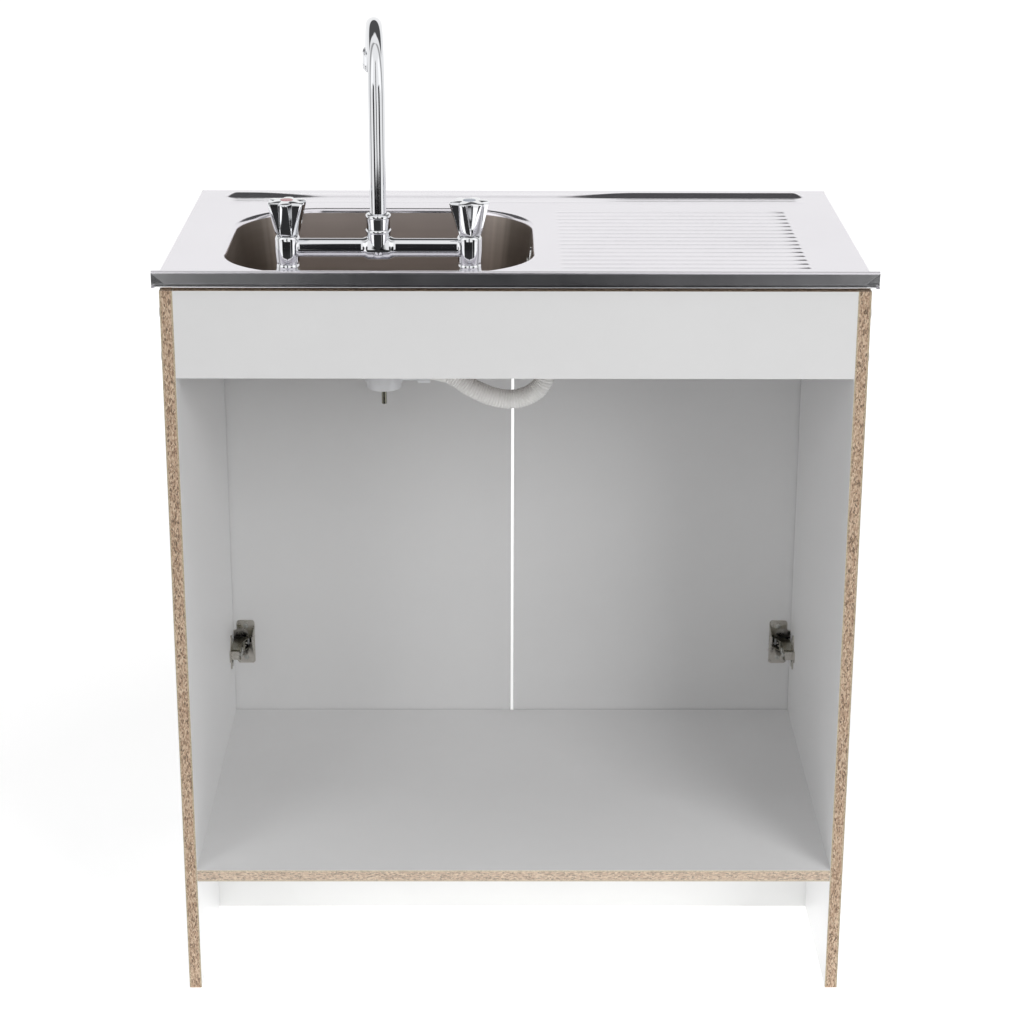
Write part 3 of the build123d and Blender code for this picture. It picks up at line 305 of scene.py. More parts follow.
dust = noiseNode(chipGroup, groupIn.outputs["Vector"], 1500.0, 3.0, 0.7)
skin = rampNode(chipGroup, dust, [
    (0.3, (0.24, 0.19, 0.12)), (0.5, (0.50, 0.43, 0.30)), (0.7, (0.68, 0.61, 0.46))])
layer = rangeNode(chipGroup, groupIn.outputs["Depth"], 0.62, 0.86, 0.0, 0.8)
board = mixColour(chipGroup, layer, core, skin)
board = mixColour(chipGroup, rangeNode(chipGroup, dust, 0.35, 0.7, 0.0, 0.35), board, (0.86, 0.74, 0.56))
foil = rangeNode(chipGroup, groupIn.outputs["Depth"], 0.955, 0.97)
board = mixColour(chipGroup, foil, board, (0.80, 0.80, 0.78))
wire(board, groupOut.inputs["Color"])
rough = mathNode(chipGroup, "ADD", mathNode(chipGroup, "MULTIPLY", tint.outputs[1], 0.7),
                 mathNode(chipGroup, "MULTIPLY", dust, 0.3))
wire(rough, groupOut.inputs["Height"])

# brushing: long fine scratches across a vector whose X runs along them
brushGroup, groupIn, groupOut = shaderGroup(
    "brushing",
    [("Vector", "NodeSocketVector", None), ("Low", "NodeSocketFloat", 0.3),
     ("High", "NodeSocketFloat", 0.45)],
    [("Height", "NodeSocketFloat"), ("Roughness", "NodeSocketFloat"), ("Tone", "NodeSocketFloat")])
narrow = stretched(brushGroup, groupIn.outputs["Vector"], (6.0, 900.0, 900.0))
wide = stretched(brushGroup, groupIn.outputs["Vector"], (2.0, 90.0, 90.0))
lines = noiseNode(brushGroup, narrow, 1.0, 4.0, 0.65)
broad = noiseNode(brushGroup, wide, 1.0, 2.0, 0.5)
wire(lines, groupOut.inputs["Height"])
wire(rangeNode(brushGroup, lines, 0.3, 0.7, groupIn.outputs["Low"], groupIn.outputs["High"]),
     groupOut.inputs["Roughness"])
wire(rangeNode(brushGroup, broad, 0.3, 0.7, 0.92, 1.0), groupOut.inputs["Tone"])


def handled(tree, place, scale, low, high):
    # handling marks on the piece's own coordinates, with roughness between low and high
    values = {"Vector": place.outputs["Object"], "Scale": scale, "Low": low, "High": high}
    return useGroup(tree, marksGroup, values)


def plainFinish(name, colour, low, high, scale=8.0, bump=0.0, bumpScale=1400.0, grain=0.0, **constants):
    # one colour with handling marks and a fine moulded or plated texture
    material, tree, shader, place = newMaterial(name, **constants)
    marks = handled(tree, place, scale, low, high)
    wire(marks.outputs["Roughness"], shader.inputs["Roughness"])
    darker = tuple(c * (1 - grain) for c in colour)
    fleck = noiseNode(tree, place.outputs["Object"], bumpScale, 3.0, 0.6)
    base = mixColour(tree, rangeNode(tree, fleck, 0.3, 0.7), darker, colour)
    toned = mixColour(tree, 1.0, base, marks.outputs["Tone"], "MULTIPLY")
    wire(toned, shader.inputs["Base Color"])
    if bump:
        bumpInto(tree, shader, fleck, bump, 0.0002)
    return material


# white melamine board: rawFaces names its cut faces, axisIndex the axis that it is thin along
def boardFinish(name, colour, rawFaces, axisIndex, middle, mirrored=False, pale=0.0):
    material, tree, shader, place = newMaterial(name)
    split = put(tree, "ShaderNodeSeparateXYZ")
    wire(place.outputs["Object"], split.inputs[0])
    across = split.outputs[axisIndex]
    if mirrored:
        across = mathNode(tree, "ABSOLUTE", across)
    fromMiddle = mathNode(tree, "ABSOLUTE", mathNode(tree, "SUBTRACT", across, middle))
    depth = mathNode(tree, "DIVIDE", fromMiddle, boardThickness / 2)
    flatten = [0.55, 0.55, 0.55]
    flatten[axisIndex] = 1.5
    flat = stretched(tree, place.outputs["Object"], flatten)
    chips = useGroup(tree, chipGroup, {"Vector": flat, "Depth": depth})
    normals = put(tree, "ShaderNodeSeparateXYZ")
    wire(place.outputs["Normal"], normals.inputs[0])
    mask = 0.0
    for index, sign in rawFaces:
        facing = mathNode(tree, "MULTIPLY", normals.outputs[index], float(sign))
        cut = mathNode(tree, "GREATER_THAN", facing, 0.85)
        mask = mathNode(tree, "MAXIMUM", mask, cut)
    marks = handled(tree, place, 3.0, 0.36, 0.46)
    peel = noiseNode(tree, place.outputs["Object"], 1100.0, 2.0, 0.5)
    white = mixColour(tree, 1.0, colour, marks.outputs["Tone"], "MULTIPLY")
    raw = mixColour(tree, pale, chips.outputs["Color"], (1.0, 0.93, 0.82))
    wire(mixColour(tree, mask, white, raw), shader.inputs["Base Color"])
    rough = put(tree, "ShaderNodeMix", data_type="FLOAT")
    feed(rough.inputs[0], mask)
    feed(rough.inputs[2], marks.outputs["Roughness"])
    feed(rough.inputs[3], 0.9)
    wire(rough.outputs[0], shader.inputs["Roughness"])
    height = put(tree, "ShaderNodeMix", data_type="FLOAT")
    feed(height.inputs[0], mask)
    feed(height.inputs[2], mathNode(tree, "MULTIPLY", peel, 0.12))
    feed(height.inputs[3], chips.outputs["Height"])
    bumpInto(tree, shader, height.outputs[0], 0.6, 0.0006)
    return material


# middles of the boards: X of the side panels, Z of the shelf, Y of the others
boardMiddles = {
    "side": 385 * mm, "shelf": 151 * mm, "rearRail": rearY - 7.5 * mm, "frontRail": frontY + 7.5 * mm,
    "plinth": rearY - 214.5 * mm, "door": frontY - 9.5 * mm,
}
# the side panels, shelf and plinth are given a lighter white and the doors a darker one than the rails'
# melamine: painted light and shade on boards that are all the same melamine
melamine = (0.84, 0.84, 0.84)
sideFinish = boardFinish("sidePanelBoard", (0.89, 0.89, 0.89), [(1, 1), (2, 1), (2, -1)], 0,
                         boardMiddles["side"], mirrored=True)
shelfFinish = boardFinish("shelfBoard", (0.90, 0.90, 0.90), [(1, 1)], 2, boardMiddles["shelf"], pale=0.22)
rearRailFinish = boardFinish("rearRailBoard", melamine, [(2, 1)], 1, boardMiddles["rearRail"])
frontRailFinish = boardFinish("frontRailBoard", melamine, [(2, 1)], 1, boardMiddles["frontRail"])
plinthFinish = boardFinish("plinthBoard", (0.90, 0.90, 0.89), [(2, 1), (2, -1)], 1, boardMiddles["plinth"])
doorFinish = boardFinish("doorBoard", (0.82, 0.82, 0.82), [], 1, boardMiddles["door"])

chrome = plainFinish("chromePlate", (0.80, 0.81, 0.83), 0.03, 0.07, 25.0, Metallic=1.0)
satinNickel = plainFinish("satinNickel", (0.60, 0.60, 0.59), 0.26, 0.36, 30.0, 0.15, 2400.0, 0.05,
                          Metallic=1.0)
hingeNickel = plainFinish("hingeNickel", (0.66, 0.63, 0.58), 0.22, 0.36, 60.0, 0.2, 1800.0, 0.12,
                          Metallic=1.0)
# the arms' olive nickel is darker than the plates': partly the arm's own tone, partly painted shade of the
# gap around the arm
armNickel = plainFinish("armNickel", (0.34, 0.33, 0.27), 0.16, 0.26, 60.0, 0.2, 1800.0, 0.2, Metallic=1.0)
# nearly black steel for the hinge links: painted shade of the hollows in the hinge
paintedShadeLinkSteel = plainFinish("paintedShadeLinkSteel", (0.045, 0.042, 0.035), 0.2, 0.35, 60.0, 0.2, 1800.0, 0.2,
                             Metallic=1.0)
pinSteel = plainFinish("pinSteel", (0.45, 0.45, 0.46), 0.25, 0.4, 80.0, Metallic=1.0)
zincSteel = plainFinish("zincSteel", (0.58, 0.58, 0.55), 0.28, 0.42, 90.0, 0.2, 2600.0, 0.1, Metallic=1.0)
whitePlastic = plainFinish("whiteWastePlastic", (0.80, 0.81, 0.83), 0.3, 0.42, 25.0, 0.25, 1800.0, 0.03)
capPlastic = plainFinish("screwCapPlastic", (0.78, 0.78, 0.77), 0.35, 0.45, 60.0, 0.2, 2400.0, 0.03)
blackRubber = plainFinish("blackRubber", (0.035, 0.035, 0.036), 0.55, 0.75, 40.0, 0.4, 2200.0, 0.3)
turnedBrass = plainFinish("turnedBrass", (0.68, 0.50, 0.24), 0.2, 0.34, 60.0, 0.15, 2600.0, 0.1, Metallic=1.0)
fibreWasher = plainFinish("fibreWasher", (0.62, 0.60, 0.54), 0.5, 0.7, 60.0, 0.3, 2600.0, 0.15)
discCeramic = plainFinish("discCeramic", (0.82, 0.80, 0.74), 0.2, 0.3, 60.0)
redCap = plainFinish("redIndex", (0.50, 0.16, 0.17), 0.12, 0.2, 90.0, 0.1, 2600.0, 0.08)
blueCap = plainFinish("blueIndex", (0.26, 0.31, 0.40), 0.12, 0.2, 90.0, 0.1, 2600.0, 0.08)
print("finishes ready")


# polished sheet above, brushed steel in the bowl; the brush marks follow the bowl round by its UV map
def deckFinish():
    material, tree, shader, place = newMaterial("polishedSheet", Metallic=1.0)
    marks = handled(tree, place, 5.0, 0.10, 0.17)
    brush = useGroup(tree, brushGroup, {"Vector": place.outputs["Object"], "Low": 0.0, "High": 0.05})
    wire(mathNode(tree, "ADD", marks.outputs["Roughness"], brush.outputs["Roughness"]),
         shader.inputs["Roughness"])
    base = mixColour(tree, 1.0, (0.79, 0.77, 0.81), marks.outputs["Tone"], "MULTIPLY")
    wire(base, shader.inputs["Base Color"])
    bumpInto(tree, shader, brush.outputs["Height"], 0.03, 0.0001)
    return material


def foldFinish():
    # the folded rear edge's colour is darker in the middle and near white towards both ends: painted dark
    # reflection
    material, tree, shader, place = newMaterial("foldedEdge", Metallic=1.0)
    marks = handled(tree, place, 9.0, 0.2, 0.28)
    wire(marks.outputs["Roughness"], shader.inputs["Roughness"])
    split = put(tree, "ShaderNodeSeparateXYZ")
    wire(place.outputs["Object"], split.inputs[0])
    across = mathNode(tree, "ABSOLUTE", mathNode(tree, "ADD", split.outputs[0], 0.05))
    # painted reflection: dark grey near the middle of the fold, near white towards both ends
    base = rampNode(tree, across, [
        (0.0, (0.36, 0.36, 0.38)), (0.25, (0.50, 0.50, 0.52)), (0.45, (0.98, 0.98, 1.0))])
    wire(mixColour(tree, 1.0, base, marks.outputs["Tone"], "MULTIPLY"), shader.inputs["Base Color"])
    fine = noiseNode(tree, stretched(tree, place.outputs["Object"], (60.0, 2400.0, 2400.0)), 1.0, 3.0, 0.6)
    bumpInto(tree, shader, fine, 0.04, 0.0001)
    return material


def bowlFinish():
    material, tree, shader, place = newMaterial("brushedBowl", Metallic=1.0, Anisotropic=0.55)
    brush = useGroup(tree, brushGroup, {"Vector": place.outputs["UV"], "Low": 0.30, "High": 0.42})
    marks = handled(tree, place, 7.0, 0.0, 0.05)
    wire(mathNode(tree, "ADD", marks.outputs["Roughness"], brush.outputs["Roughness"]),
         shader.inputs["Roughness"])
    # painted highlights and shade on the bowl's walls: the colour is lighter or darker by which way each wall
    # faces, with soft streaks, standing in for reflections in the brushed corners; the flat floor keeps the
    # plain colour
    facing = put(tree, "ShaderNodeSeparateXYZ")
    wire(place.outputs["Normal"], facing.inputs[0])
    turned = mathNode(tree, "ABSOLUTE", facing.outputs[0])
    paintedSheenStreak = noiseNode(tree, stretched(tree, place.outputs["Normal"], (7.0, 7.0, 0.3)), 1.0, 3.0, 0.6)
    swing = mathNode(tree, "ADD", turned, rangeNode(tree, paintedSheenStreak, 0.3, 0.7, -0.07, 0.07))
    paintedWallSheen = rampNode(tree, swing, [
        (0.0, (0.78, 0.78, 0.78)), (0.36, (0.76, 0.76, 0.76)), (0.56, (1.0, 1.0, 0.98)),
        (0.66, (0.82, 0.82, 0.8)), (0.76, (0.52, 0.52, 0.5)), (1.0, (0.46, 0.46, 0.44))])
    tinted = mixColour(tree, 1.0, (0.58, 0.51, 0.47), brush.outputs["Tone"], "MULTIPLY")
    tone = mixColour(tree, rangeNode(tree, facing.outputs[2], 0.3, 0.95), paintedWallSheen, (1.0, 1.0, 1.0))
    wire(mixColour(tree, 1.0, tinted, tone, "MULTIPLY"), shader.inputs["Base Color"])
    along = put(tree, "ShaderNodeTangent", direction_type="UV_MAP", uv_map="UVMap")
    wire(along.outputs[0], shader.inputs["Tangent"])
    bumpInto(tree, shader, brush.outputs["Height"], 0.08, 0.0001)
    return material


polishedSheet = deckFinish()
foldedSheet = foldFinish()
brushedBowl = bowlFinish()
polishedSmall = plainFinish("polishedFittings", (0.72, 0.72, 0.73), 0.08, 0.16, 40.0, Metallic=1.0)


# ---- the sink: deck, drainer, front bead, folded edges, bowl
sinkValues = {
    "halfWidth": 400 * mm, "overhang": 4.4 * mm, "depth": 500 * mm, "sheet": 0.8 * mm,
    "edgeRadius": 3.5 * mm, "skirt": 8 * mm, "sideReturn": 20 * mm,
    "lipRise": 15 * mm, "lipThickness": 7.4 * mm, "lipCove": 7 * mm, "lipTopRadius": 2.2 * mm,
    "lipLow": 872 * mm,
    "foldThickness": 0.6 * mm, "foldHeight": 11.4 * mm, "foldMitre": 14 * mm, "cornerTurns": (0.15, 0.05),
    "ridges": 16, "ridgePitch": 19.1 * mm, "ridgeHalf": 6.5 * mm, "ridgeHeight": 0.34 * mm,
    "ridgeEnd": 1.0 * mm, "ridgeSwell": 28 * mm,
    "ridgeFrom": -337 * mm, "ridgeTo": -49 * mm, "firstRidge": 78.25 * mm,
    "beadFrom": -372 * mm, "beadTo": 368 * mm, "beadDepth": 460 * mm, "beadHalf": 17.5 * mm,
    "beadHeight": 4.5 * mm,
    "beadLow": 0.22, "beadLowFrom": -58 * mm, "beadLowTo": 236 * mm, "beadFade": 95 * mm,
    "rippleDepth": 423 * mm, "rippleHalf": 8 * mm, "rippleHeight": 0.3 * mm,
    "split": -38 * mm, "frontStrip": 412 * mm,
    "bowlX": 156.5 * mm, "bowlDepth": 218.5 * mm, "bowlHalfX": 178 * mm, "bowlHalfY": 164 * mm,
    "bowlCorner": 100 * mm, "bowlDrop": 134 * mm, "draft": 8.1, "rimRadius": 5.8 * mm, "floorRadius": 26 * mm,
    "wasteHole": 25 * mm,
}


def slotDistance(x, v, x0, x1, v0):
    # distance from a straight core line, so that both ends come out round
    near = min(max(x, x0), x1)
    return math.hypot(x - near, v - v0)


def deckHeight(x, v):
    s = sinkValues
    height = 0.0
    if s["ridgeFrom"] - s["ridgeHalf"] < x < s["ridgeTo"] + s["ridgeHalf"]:
        index = round((v - s["firstRidge"]) / s["ridgePitch"])
        if 0 <= index < s["ridges"]:
            line = s["firstRidge"] + index * s["ridgePitch"]
            d = slotDistance(x, v, s["ridgeFrom"] + s["ridgeHalf"], s["ridgeTo"] - s["ridgeHalf"], line)
            if d < s["ridgeHalf"]:
                fromEnd = (x - s["ridgeFrom"]) / s["ridgeSwell"]
                crest = s["ridgeHeight"] + (s["ridgeEnd"] - s["ridgeHeight"]) * max(0.0, 1 - fromEnd) ** 2
                height = crest * math.cos(math.pi * d / s["ridgeHalf"] / 2) ** 2
    # the front bead is a soft wave, pressed lower in front of the bowl
    d = slotDistance(x, v, s["beadFrom"] + s["beadHalf"], s["beadTo"] - s["beadHalf"], s["beadDepth"])
    if d < s["beadHalf"]:
        away = max(s["beadLowFrom"] - x, x - s["beadLowTo"], 0.0) / s["beadFade"]
        share = min(1.0, away)
        share = s["beadLow"] + (1 - s["beadLow"]) * share * share * (3 - 2 * share)
        height = s["beadHeight"] * share * (1 + math.cos(math.pi * d / s["beadHalf"])) / 2
    d = slotDistance(x, v, s["beadFrom"] + s["rippleHalf"], s["beadTo"] - s["rippleHalf"], s["rippleDepth"])
    if d < s["rippleHalf"]:
        height = s["rippleHeight"] * (1 + math.cos(math.pi * d / s["rippleHalf"])) / 2
    return height


def steps(a, b, count):
    return [a + (b - a) * i / count for i in range(count)]


def deckLines():
    s = sinkValues
    flat = s["halfWidth"] - s["edgeRadius"]
    half = s["ridgeHalf"]
    left = (steps(-flat, s["beadFrom"] - mm, 2) + steps(s["beadFrom"] - mm, s["beadFrom"] + 20 * mm, 22)
            + steps(s["beadFrom"] + 20 * mm, s["ridgeFrom"] - mm, 3)
            + steps(s["ridgeFrom"] - mm, s["ridgeFrom"] + 7 * mm, 12)
            + steps(s["ridgeFrom"] + 7 * mm, s["ridgeFrom"] + 30 * mm, 6)
            + steps(s["ridgeFrom"] + 30 * mm, s["ridgeTo"] - 7 * mm, 14)
            + steps(s["ridgeTo"] - 7 * mm, s["ridgeTo"] + mm, 10) + [s["ridgeTo"] + mm, s["split"]])
    right = ([s["split"]] + steps(60 * mm, s["beadTo"] - 20 * mm, 18)
             + steps(s["beadTo"] - 20 * mm, s["beadTo"] + mm, 22) + [s["beadTo"] + mm, flat])
    foot = -s["overhang"] + s["lipThickness"] + s["lipCove"]
    front = s["depth"] - s["overhang"] - s["edgeRadius"]
    rear = [foot, 40 * mm]
    for i in range(s["ridges"]):
        line = s["firstRidge"] + i * s["ridgePitch"]
        rear += [line + half * k / 5 for k in range(-5, 6)]
    rear += [385 * mm, s["frontStrip"]]
    low = s["beadDepth"] - s["beadHalf"]
    ripple = s["rippleDepth"] - s["rippleHalf"]
    strip = [s["frontStrip"]] + steps(ripple, ripple + 2 * s["rippleHalf"], 8)
    strip += [ripple + 2 * s["rippleHalf"]]
    strip += [low - 8 * mm] + steps(low, low + 2 * s["beadHalf"], 18) + [low + 2 * s["beadHalf"], front]
    return left, right, rear, strip


def roundedLoop(halfX, halfY, radius, cornerSteps=16, sideSteps=8):
    points = []
    corners = [(halfX - radius, halfY - radius, 0), (-(halfX - radius), halfY - radius, 90),
               (-(halfX - radius), -(halfY - radius), 180), (halfX - radius, -(halfY - radius), 270)]
    for index, (cx, cy, start) in enumerate(corners):
        arc = arcPoints((cx, cy), radius, start, start + 90, cornerSteps)
        points += arc
        nextX, nextY, nextStart = corners[(index + 1) % 4]
        nextStart = math.radians(nextStart)
        ahead = (nextX + radius * math.cos(nextStart), nextY + radius * math.sin(nextStart))
        last = arc[-1]
        for k in range(1, sideSteps):
            points.append((last[0] + (ahead[0] - last[0]) * k / sideSteps,
                           last[1] + (ahead[1] - last[1]) * k / sideSteps))
    return points


def bowlRings():
    # (inset from the opening, height above the deck's top) from the deck down to the floor
    s = sinkValues
    slope = math.radians(s["draft"])
    rim = s["rimRadius"]
    back = rim * math.tan((math.pi / 2 - slope) / 2)
    rings = []
    for i in range(9):
        a = (math.pi / 2 - slope) * i / 8
        rings.append((-back + rim * math.sin(a), -rim + rim * math.cos(a)))
    radius = s["floorRadius"]
    low = -s["bowlDrop"] + radius - radius * math.sin(slope)
    start = rings[-1][1]
    for i in range(1, 9):
        z = start + (low - start) * i / 8
        rings.append((-z * math.tan(slope), z))
    centre = (-low * math.tan(slope) + radius * math.cos(slope), -s["bowlDrop"] + radius)
    for i in range(1, 13):
        t = slope + (math.pi / 2 - slope) * i / 12
        rings.append((centre[0] - radius * math.cos(t), centre[1] - radius * math.sin(t)))
    return rings


def buildBowl():
    s = sinkValues
    centre = (s["bowlX"], rearY - s["bowlDepth"])
    verts = []
    uvs = []
    travel = 0.0
    last = None
    rings = bowlRings()
    for inset, z in rings:
        loop = roundedLoop(s["bowlHalfX"] - inset, s["bowlHalfY"] - inset, s["bowlCorner"] - inset)
        travel += 0.0 if last is None else math.hypot(inset - last[0], z - last[1])
        last = (inset, z)
        around = 0.0
        for k, (x, y) in enumerate(loop):
            if k:
                around += math.hypot(x - loop[k - 1][0], y - loop[k - 1][1])
            verts.append((centre[0] + x, centre[1] + y, deckTop + z))
            uvs.append((around, travel))
    count = len(loop)
    floorZ = deckTop - s["bowlDrop"]
    # the flat floor draws in from the fillet to the waste's round hole
    for share in (0.25, 0.5, 0.75, 1.0):
        for x, y in loop:
            a = math.atan2(y, x)
            hole = (s["wasteHole"] * math.cos(a), s["wasteHole"] * math.sin(a))
            px = x + (hole[0] - x) * share
            py = y + (hole[1] - y) * share
            verts.append((centre[0] + px, centre[1] + py, floorZ))
            uvs.append((centre[0] + px, travel + 0.05 * share))
    for k in range(count):
        vert = verts[-count]
        verts.append((vert[0], vert[1], floorZ - s["sheet"]))
        uvs.append((vert[0], travel + 0.06))
    rows = len(verts) // count
    faces = gridFaces(rows, count, True)
    rim = verts[:count]
    return verts, faces, uvs, rim


def addSkirt(verts, faces, left, right, rear, strip):
    # folded skirt along the left, front and right edges, mitred at both front corners
    s = sinkValues
    allDepths = rear + strip[1:]
    turns = [math.radians(18 * i) for i in range(6)]
    profile = [(s["edgeRadius"] - s["edgeRadius"] * math.sin(a),
                -s["edgeRadius"] + s["edgeRadius"] * math.cos(a)) for a in turns]
    profile += [(0.0, -s["skirt"] + 0.6 * mm), (0.2 * mm, -s["skirt"] + 0.15 * mm), (0.8 * mm, -s["skirt"]),
                (s["sideReturn"], -s["skirt"])]
    rearEdge = rearY + s["overhang"]
    frontEdge = rearEdge - s["depth"]
    path = [("L", rearEdge)] + [("L", rearY - v) for v in allDepths[:-1]] + [("CL", 0)]
    path += [("F", x) for x in (left[1:] + right[1:-1])] + [("CR", 0)]
    path += [("R", rearY - v) for v in reversed(strip[:-1])] + [("R", rearY - rear[0]), ("R", rearEdge)]
    start = len(verts)
    for inset, drop in profile:
        for kind, value in path:
            besideLip = kind in "LR" and value > rearY - rear[0] - mm
            turnedIn = min(inset, s["edgeRadius"]) if besideLip else inset
            x0 = -s["halfWidth"] + turnedIn
            x1 = s["halfWidth"] - turnedIn
            y = frontEdge + inset
            point = {"L": (x0, value), "CL": (x0, y), "F": (value, y), "CR": (x1, y), "R": (x1, value)}[kind]
            # beside the lip the skirt is shallower, so that the lip hides it
            shallow = 0.5 if besideLip else 1.0
            verts.append((point[0], point[1], deckTop + drop * shallow))
    faces.extend(gridFaces(len(profile), len(path), False, start))


def addLip(verts, faces, left, right):
    # the rear lip's section, swept along X and closed at both ends; returns the first face of its back
    s = sinkValues
    back = -s["overhang"]
    front = back + s["lipThickness"]
    top = s["lipRise"]
    low = s["lipLow"] - deckTop
    r = s["lipTopRadius"]
    section = arcPoints((front + s["lipCove"], s["lipCove"]), s["lipCove"], 270, 180, 8)
    section += arcPoints((front - r, top - r), r, 0, 90, 5)
    section += arcPoints((back + r, top - r), r, 90, 180, 5)
    foldTop = top - r
    section += [(back, foldTop - s["foldHeight"] * k / 8) for k in range(1, 9)]
    section += arcPoints((back + 3 * mm, low + 3 * mm), 3 * mm, 180, 270, 6) + [(front + s["lipCove"], low)]
    start = len(verts)
    lipStart = len(faces)
    backRow = next(k for k, point in enumerate(section) if point[0] - back < 1e-6)
    corner = s["halfWidth"] - s["foldMitre"] - 2 * mm
    xs = steps(-s["halfWidth"], -corner, 16) + [x for x in left + right[1:] if abs(x) < corner]
    xs += steps(corner, s["halfWidth"], 16) + [s["halfWidth"]]
    for v, z in section:
        for x in xs:
            # past the mitre line the lip's back turns away a little
            mitre = s["halfWidth"] - mm - s["foldMitre"] * min(1.0, max(0.0, (foldTop - z) / s["foldHeight"]))
            turned = s["cornerTurns"][x > 0] * max(0.0, abs(x) - mitre) * max(0.0, 1 - (v - back) / (3 * mm))
            verts.append((x, rearY - v - turned, deckTop + z))
    faces.extend(gridFaces(len(section), len(xs), False, start))
    for side in (0, len(xs) - 1):
        faces.append(tuple(start + k * len(xs) + side for k in range(len(section))))
    return lipStart + backRow * (len(xs) - 1)


def buildSink():
    s = sinkValues
    left, right, rear, strip = deckLines()
    verts, faces, uvs, rim = buildBowl()
    bowlFaceCount = len(faces)

    def sheetGrid(xs, vs):
        start = len(verts)
        for v in vs:
            for x in xs:
                verts.append((x, rearY - v, deckTop + deckHeight(x, v)))
        faces.extend(gridFaces(len(vs), len(xs), False, start))

    sheetGrid(left, rear + strip[1:])
    sheetGrid(right, strip)
    addSkirt(verts, faces, left, right, rear, strip)
    backStart = addLip(verts, faces, left, right)
    mesh = bpy.data.meshes.new("sinkSheet")
    mesh.from_pydata(verts, [], faces)
    layer = mesh.uv_layers.new(name="UVMap")
    for loop in mesh.loops:
        k = loop.vertex_index
        layer.data[loop.index].uv = uvs[k] if k < len(uvs) else (verts[k][0], verts[k][1])
    for index, polygon in enumerate(mesh.polygons):
        # 0 the polished deck, 1 the brushed bowl, 2 the folded edge
        inBowl = 8 * len(rim) <= index < bowlFaceCount
        polygon.material_index = 1 if inBowl else 2 if index >= backStart else 0
    # the flat sheet between the bowl's rim and the patches around it
    work = bmesh.new()
    work.from_mesh(mesh)
    bmesh.ops.remove_doubles(work, verts=work.verts, dist=1e-6)
    x0 = s["split"]
    x1 = s["halfWidth"] - s["edgeRadius"]
    y0 = rearY - s["frontStrip"]
    y1 = rearY - rear[0]
    work.verts.new((x1, y1, deckTop))
    bmesh.ops.remove_doubles(work, verts=work.verts, dist=1e-6)
    work.verts.ensure_lookup_table()
    flat = [v for v in work.verts if abs(v.co.z - deckTop) < 1e-7 and x0 - 1e-7 < v.co.x < x1 + 1e-7
            and y0 - 1e-7 < v.co.y < y1 + 1e-7]
    onBorder = [v for v in flat if abs(v.co.x - x0) < 1e-6 or abs(v.co.x - x1) < 1e-6
                or abs(v.co.y - y0) < 1e-6 or abs(v.co.y - y1) < 1e-6]

    def inTurn(verts, x, y):
        # sorted by direction, seen from one point
        return sorted(verts, key=lambda v: math.atan2(v.co.y - y, v.co.x - x))

    border = inTurn(onBorder, (x0 + x1) / 2, (y0 + y1) / 2)
    ring = inTurn(set(flat) - set(onBorder), s["bowlX"], rearY - s["bowlDepth"])
    edges = []
    for loop in (border, ring):
        for a, b in zip(loop, loop[1:] + loop[:1]):
            edges.append(work.edges.get((a, b)) or work.edges.new((a, b)))
    made = bmesh.ops.triangle_fill(work, use_beauty=True, use_dissolve=False, edges=edges)
    uvLayer = work.loops.layers.uv.active
    for face in [g for g in made["geom"] if isinstance(g, bmesh.types.BMFace)]:
        for loop in face.loops:
            loop[uvLayer].uv = (loop.vert.co.x, loop.vert.co.y)
    bmesh.ops.recalc_face_normals(work, faces=work.faces)
    # the deck looks up
    level = [f for f in work.faces if abs(f.calc_center_median().z - deckTop) < 1e-6]
    if max(level, key=lambda f: f.calc_area()).normal.z < 0:
        bmesh.ops.reverse_faces(work, faces=work.faces)
    work.to_mesh(mesh)
    work.free()
    piece = addObject("sinkSheet", mesh)
    mesh.materials.append(polishedSheet)
    mesh.materials.append(brushedBowl)
    mesh.materials.append(foldedSheet)
    shadeByAngle(mesh, 40)
    wall = piece.modifiers.new("sheetThickness", "SOLIDIFY")
    wall.thickness = s["sheet"]
    wall.offset = -1.0
    even = piece.modifiers.new("evenNormals", "WEIGHTED_NORMAL")
    even.keep_sharp = True
    ready(piece, "cabinet", "sink_steel", "sink_deck", "sink_bowl")


def buildLipFold():
    # the outer layer of the rear fold, cut to a mitre at both ends
    s = sinkValues
    top = deckTop + s["lipRise"] - s["lipTopRadius"]
    low = top - s["foldHeight"]
    half = s["halfWidth"] - mm
    y0 = rearY + s["overhang"]
    y1 = y0 + s["foldThickness"]
    outline = [(-half, top), (half, top), (half - s["foldMitre"], low), (-half + s["foldMitre"], low)]
    verts = [(x, y, z) for y in (y0 - 0.2 * mm, y1) for x, z in outline]
    faces = [(0, 1, 2, 3), (7, 6, 5, 4), (0, 4, 5, 1), (1, 5, 6, 2), (2, 6, 7, 3), (3, 7, 4, 0)]
    mesh = meshFrom("sinkRearFold", verts, faces)
    outward(mesh)
    piece = addObject("sinkRearFold", mesh, foldedSheet)
    ease = piece.modifiers.new("easedEdges", "BEVEL")
    ease.width = 0.25 * mm
    ease.segments = 2
    ease.harden_normals = True
    shadeByAngle(mesh, 30)
    ready(piece, "cabinet", "sink_steel")


buildSink()
buildLipFold()
print("sink ready")

# ---- the cabinet's boards
boardEdges = {"side": 0.35 * mm, "door": 0.5 * mm, "other": 0.3 * mm}
for side in ("left", "right"):
    cadCopy("side_panel_" + side, sideFinish, "cabinet", "melamine_board", boardEdges["side"])
    cadCopy("door_" + side, doorFinish, "door_" + side, "door_board", boardEdges["door"])
cadCopy("base_shelf", shelfFinish, "cabinet", "melamine_board", boardEdges["other"])
cadCopy("rear_rail", rearRailFinish, "cabinet", "melamine_board", boardEdges["other"])
cadCopy("front_rail", frontRailFinish, "cabinet", "melamine_board", boardEdges["other"])
cadCopy("plinth_board", plinthFinish, "cabinet", "melamine_board", boardEdges["other"],
        name="plinthBoardPiece")
print("boards ready")

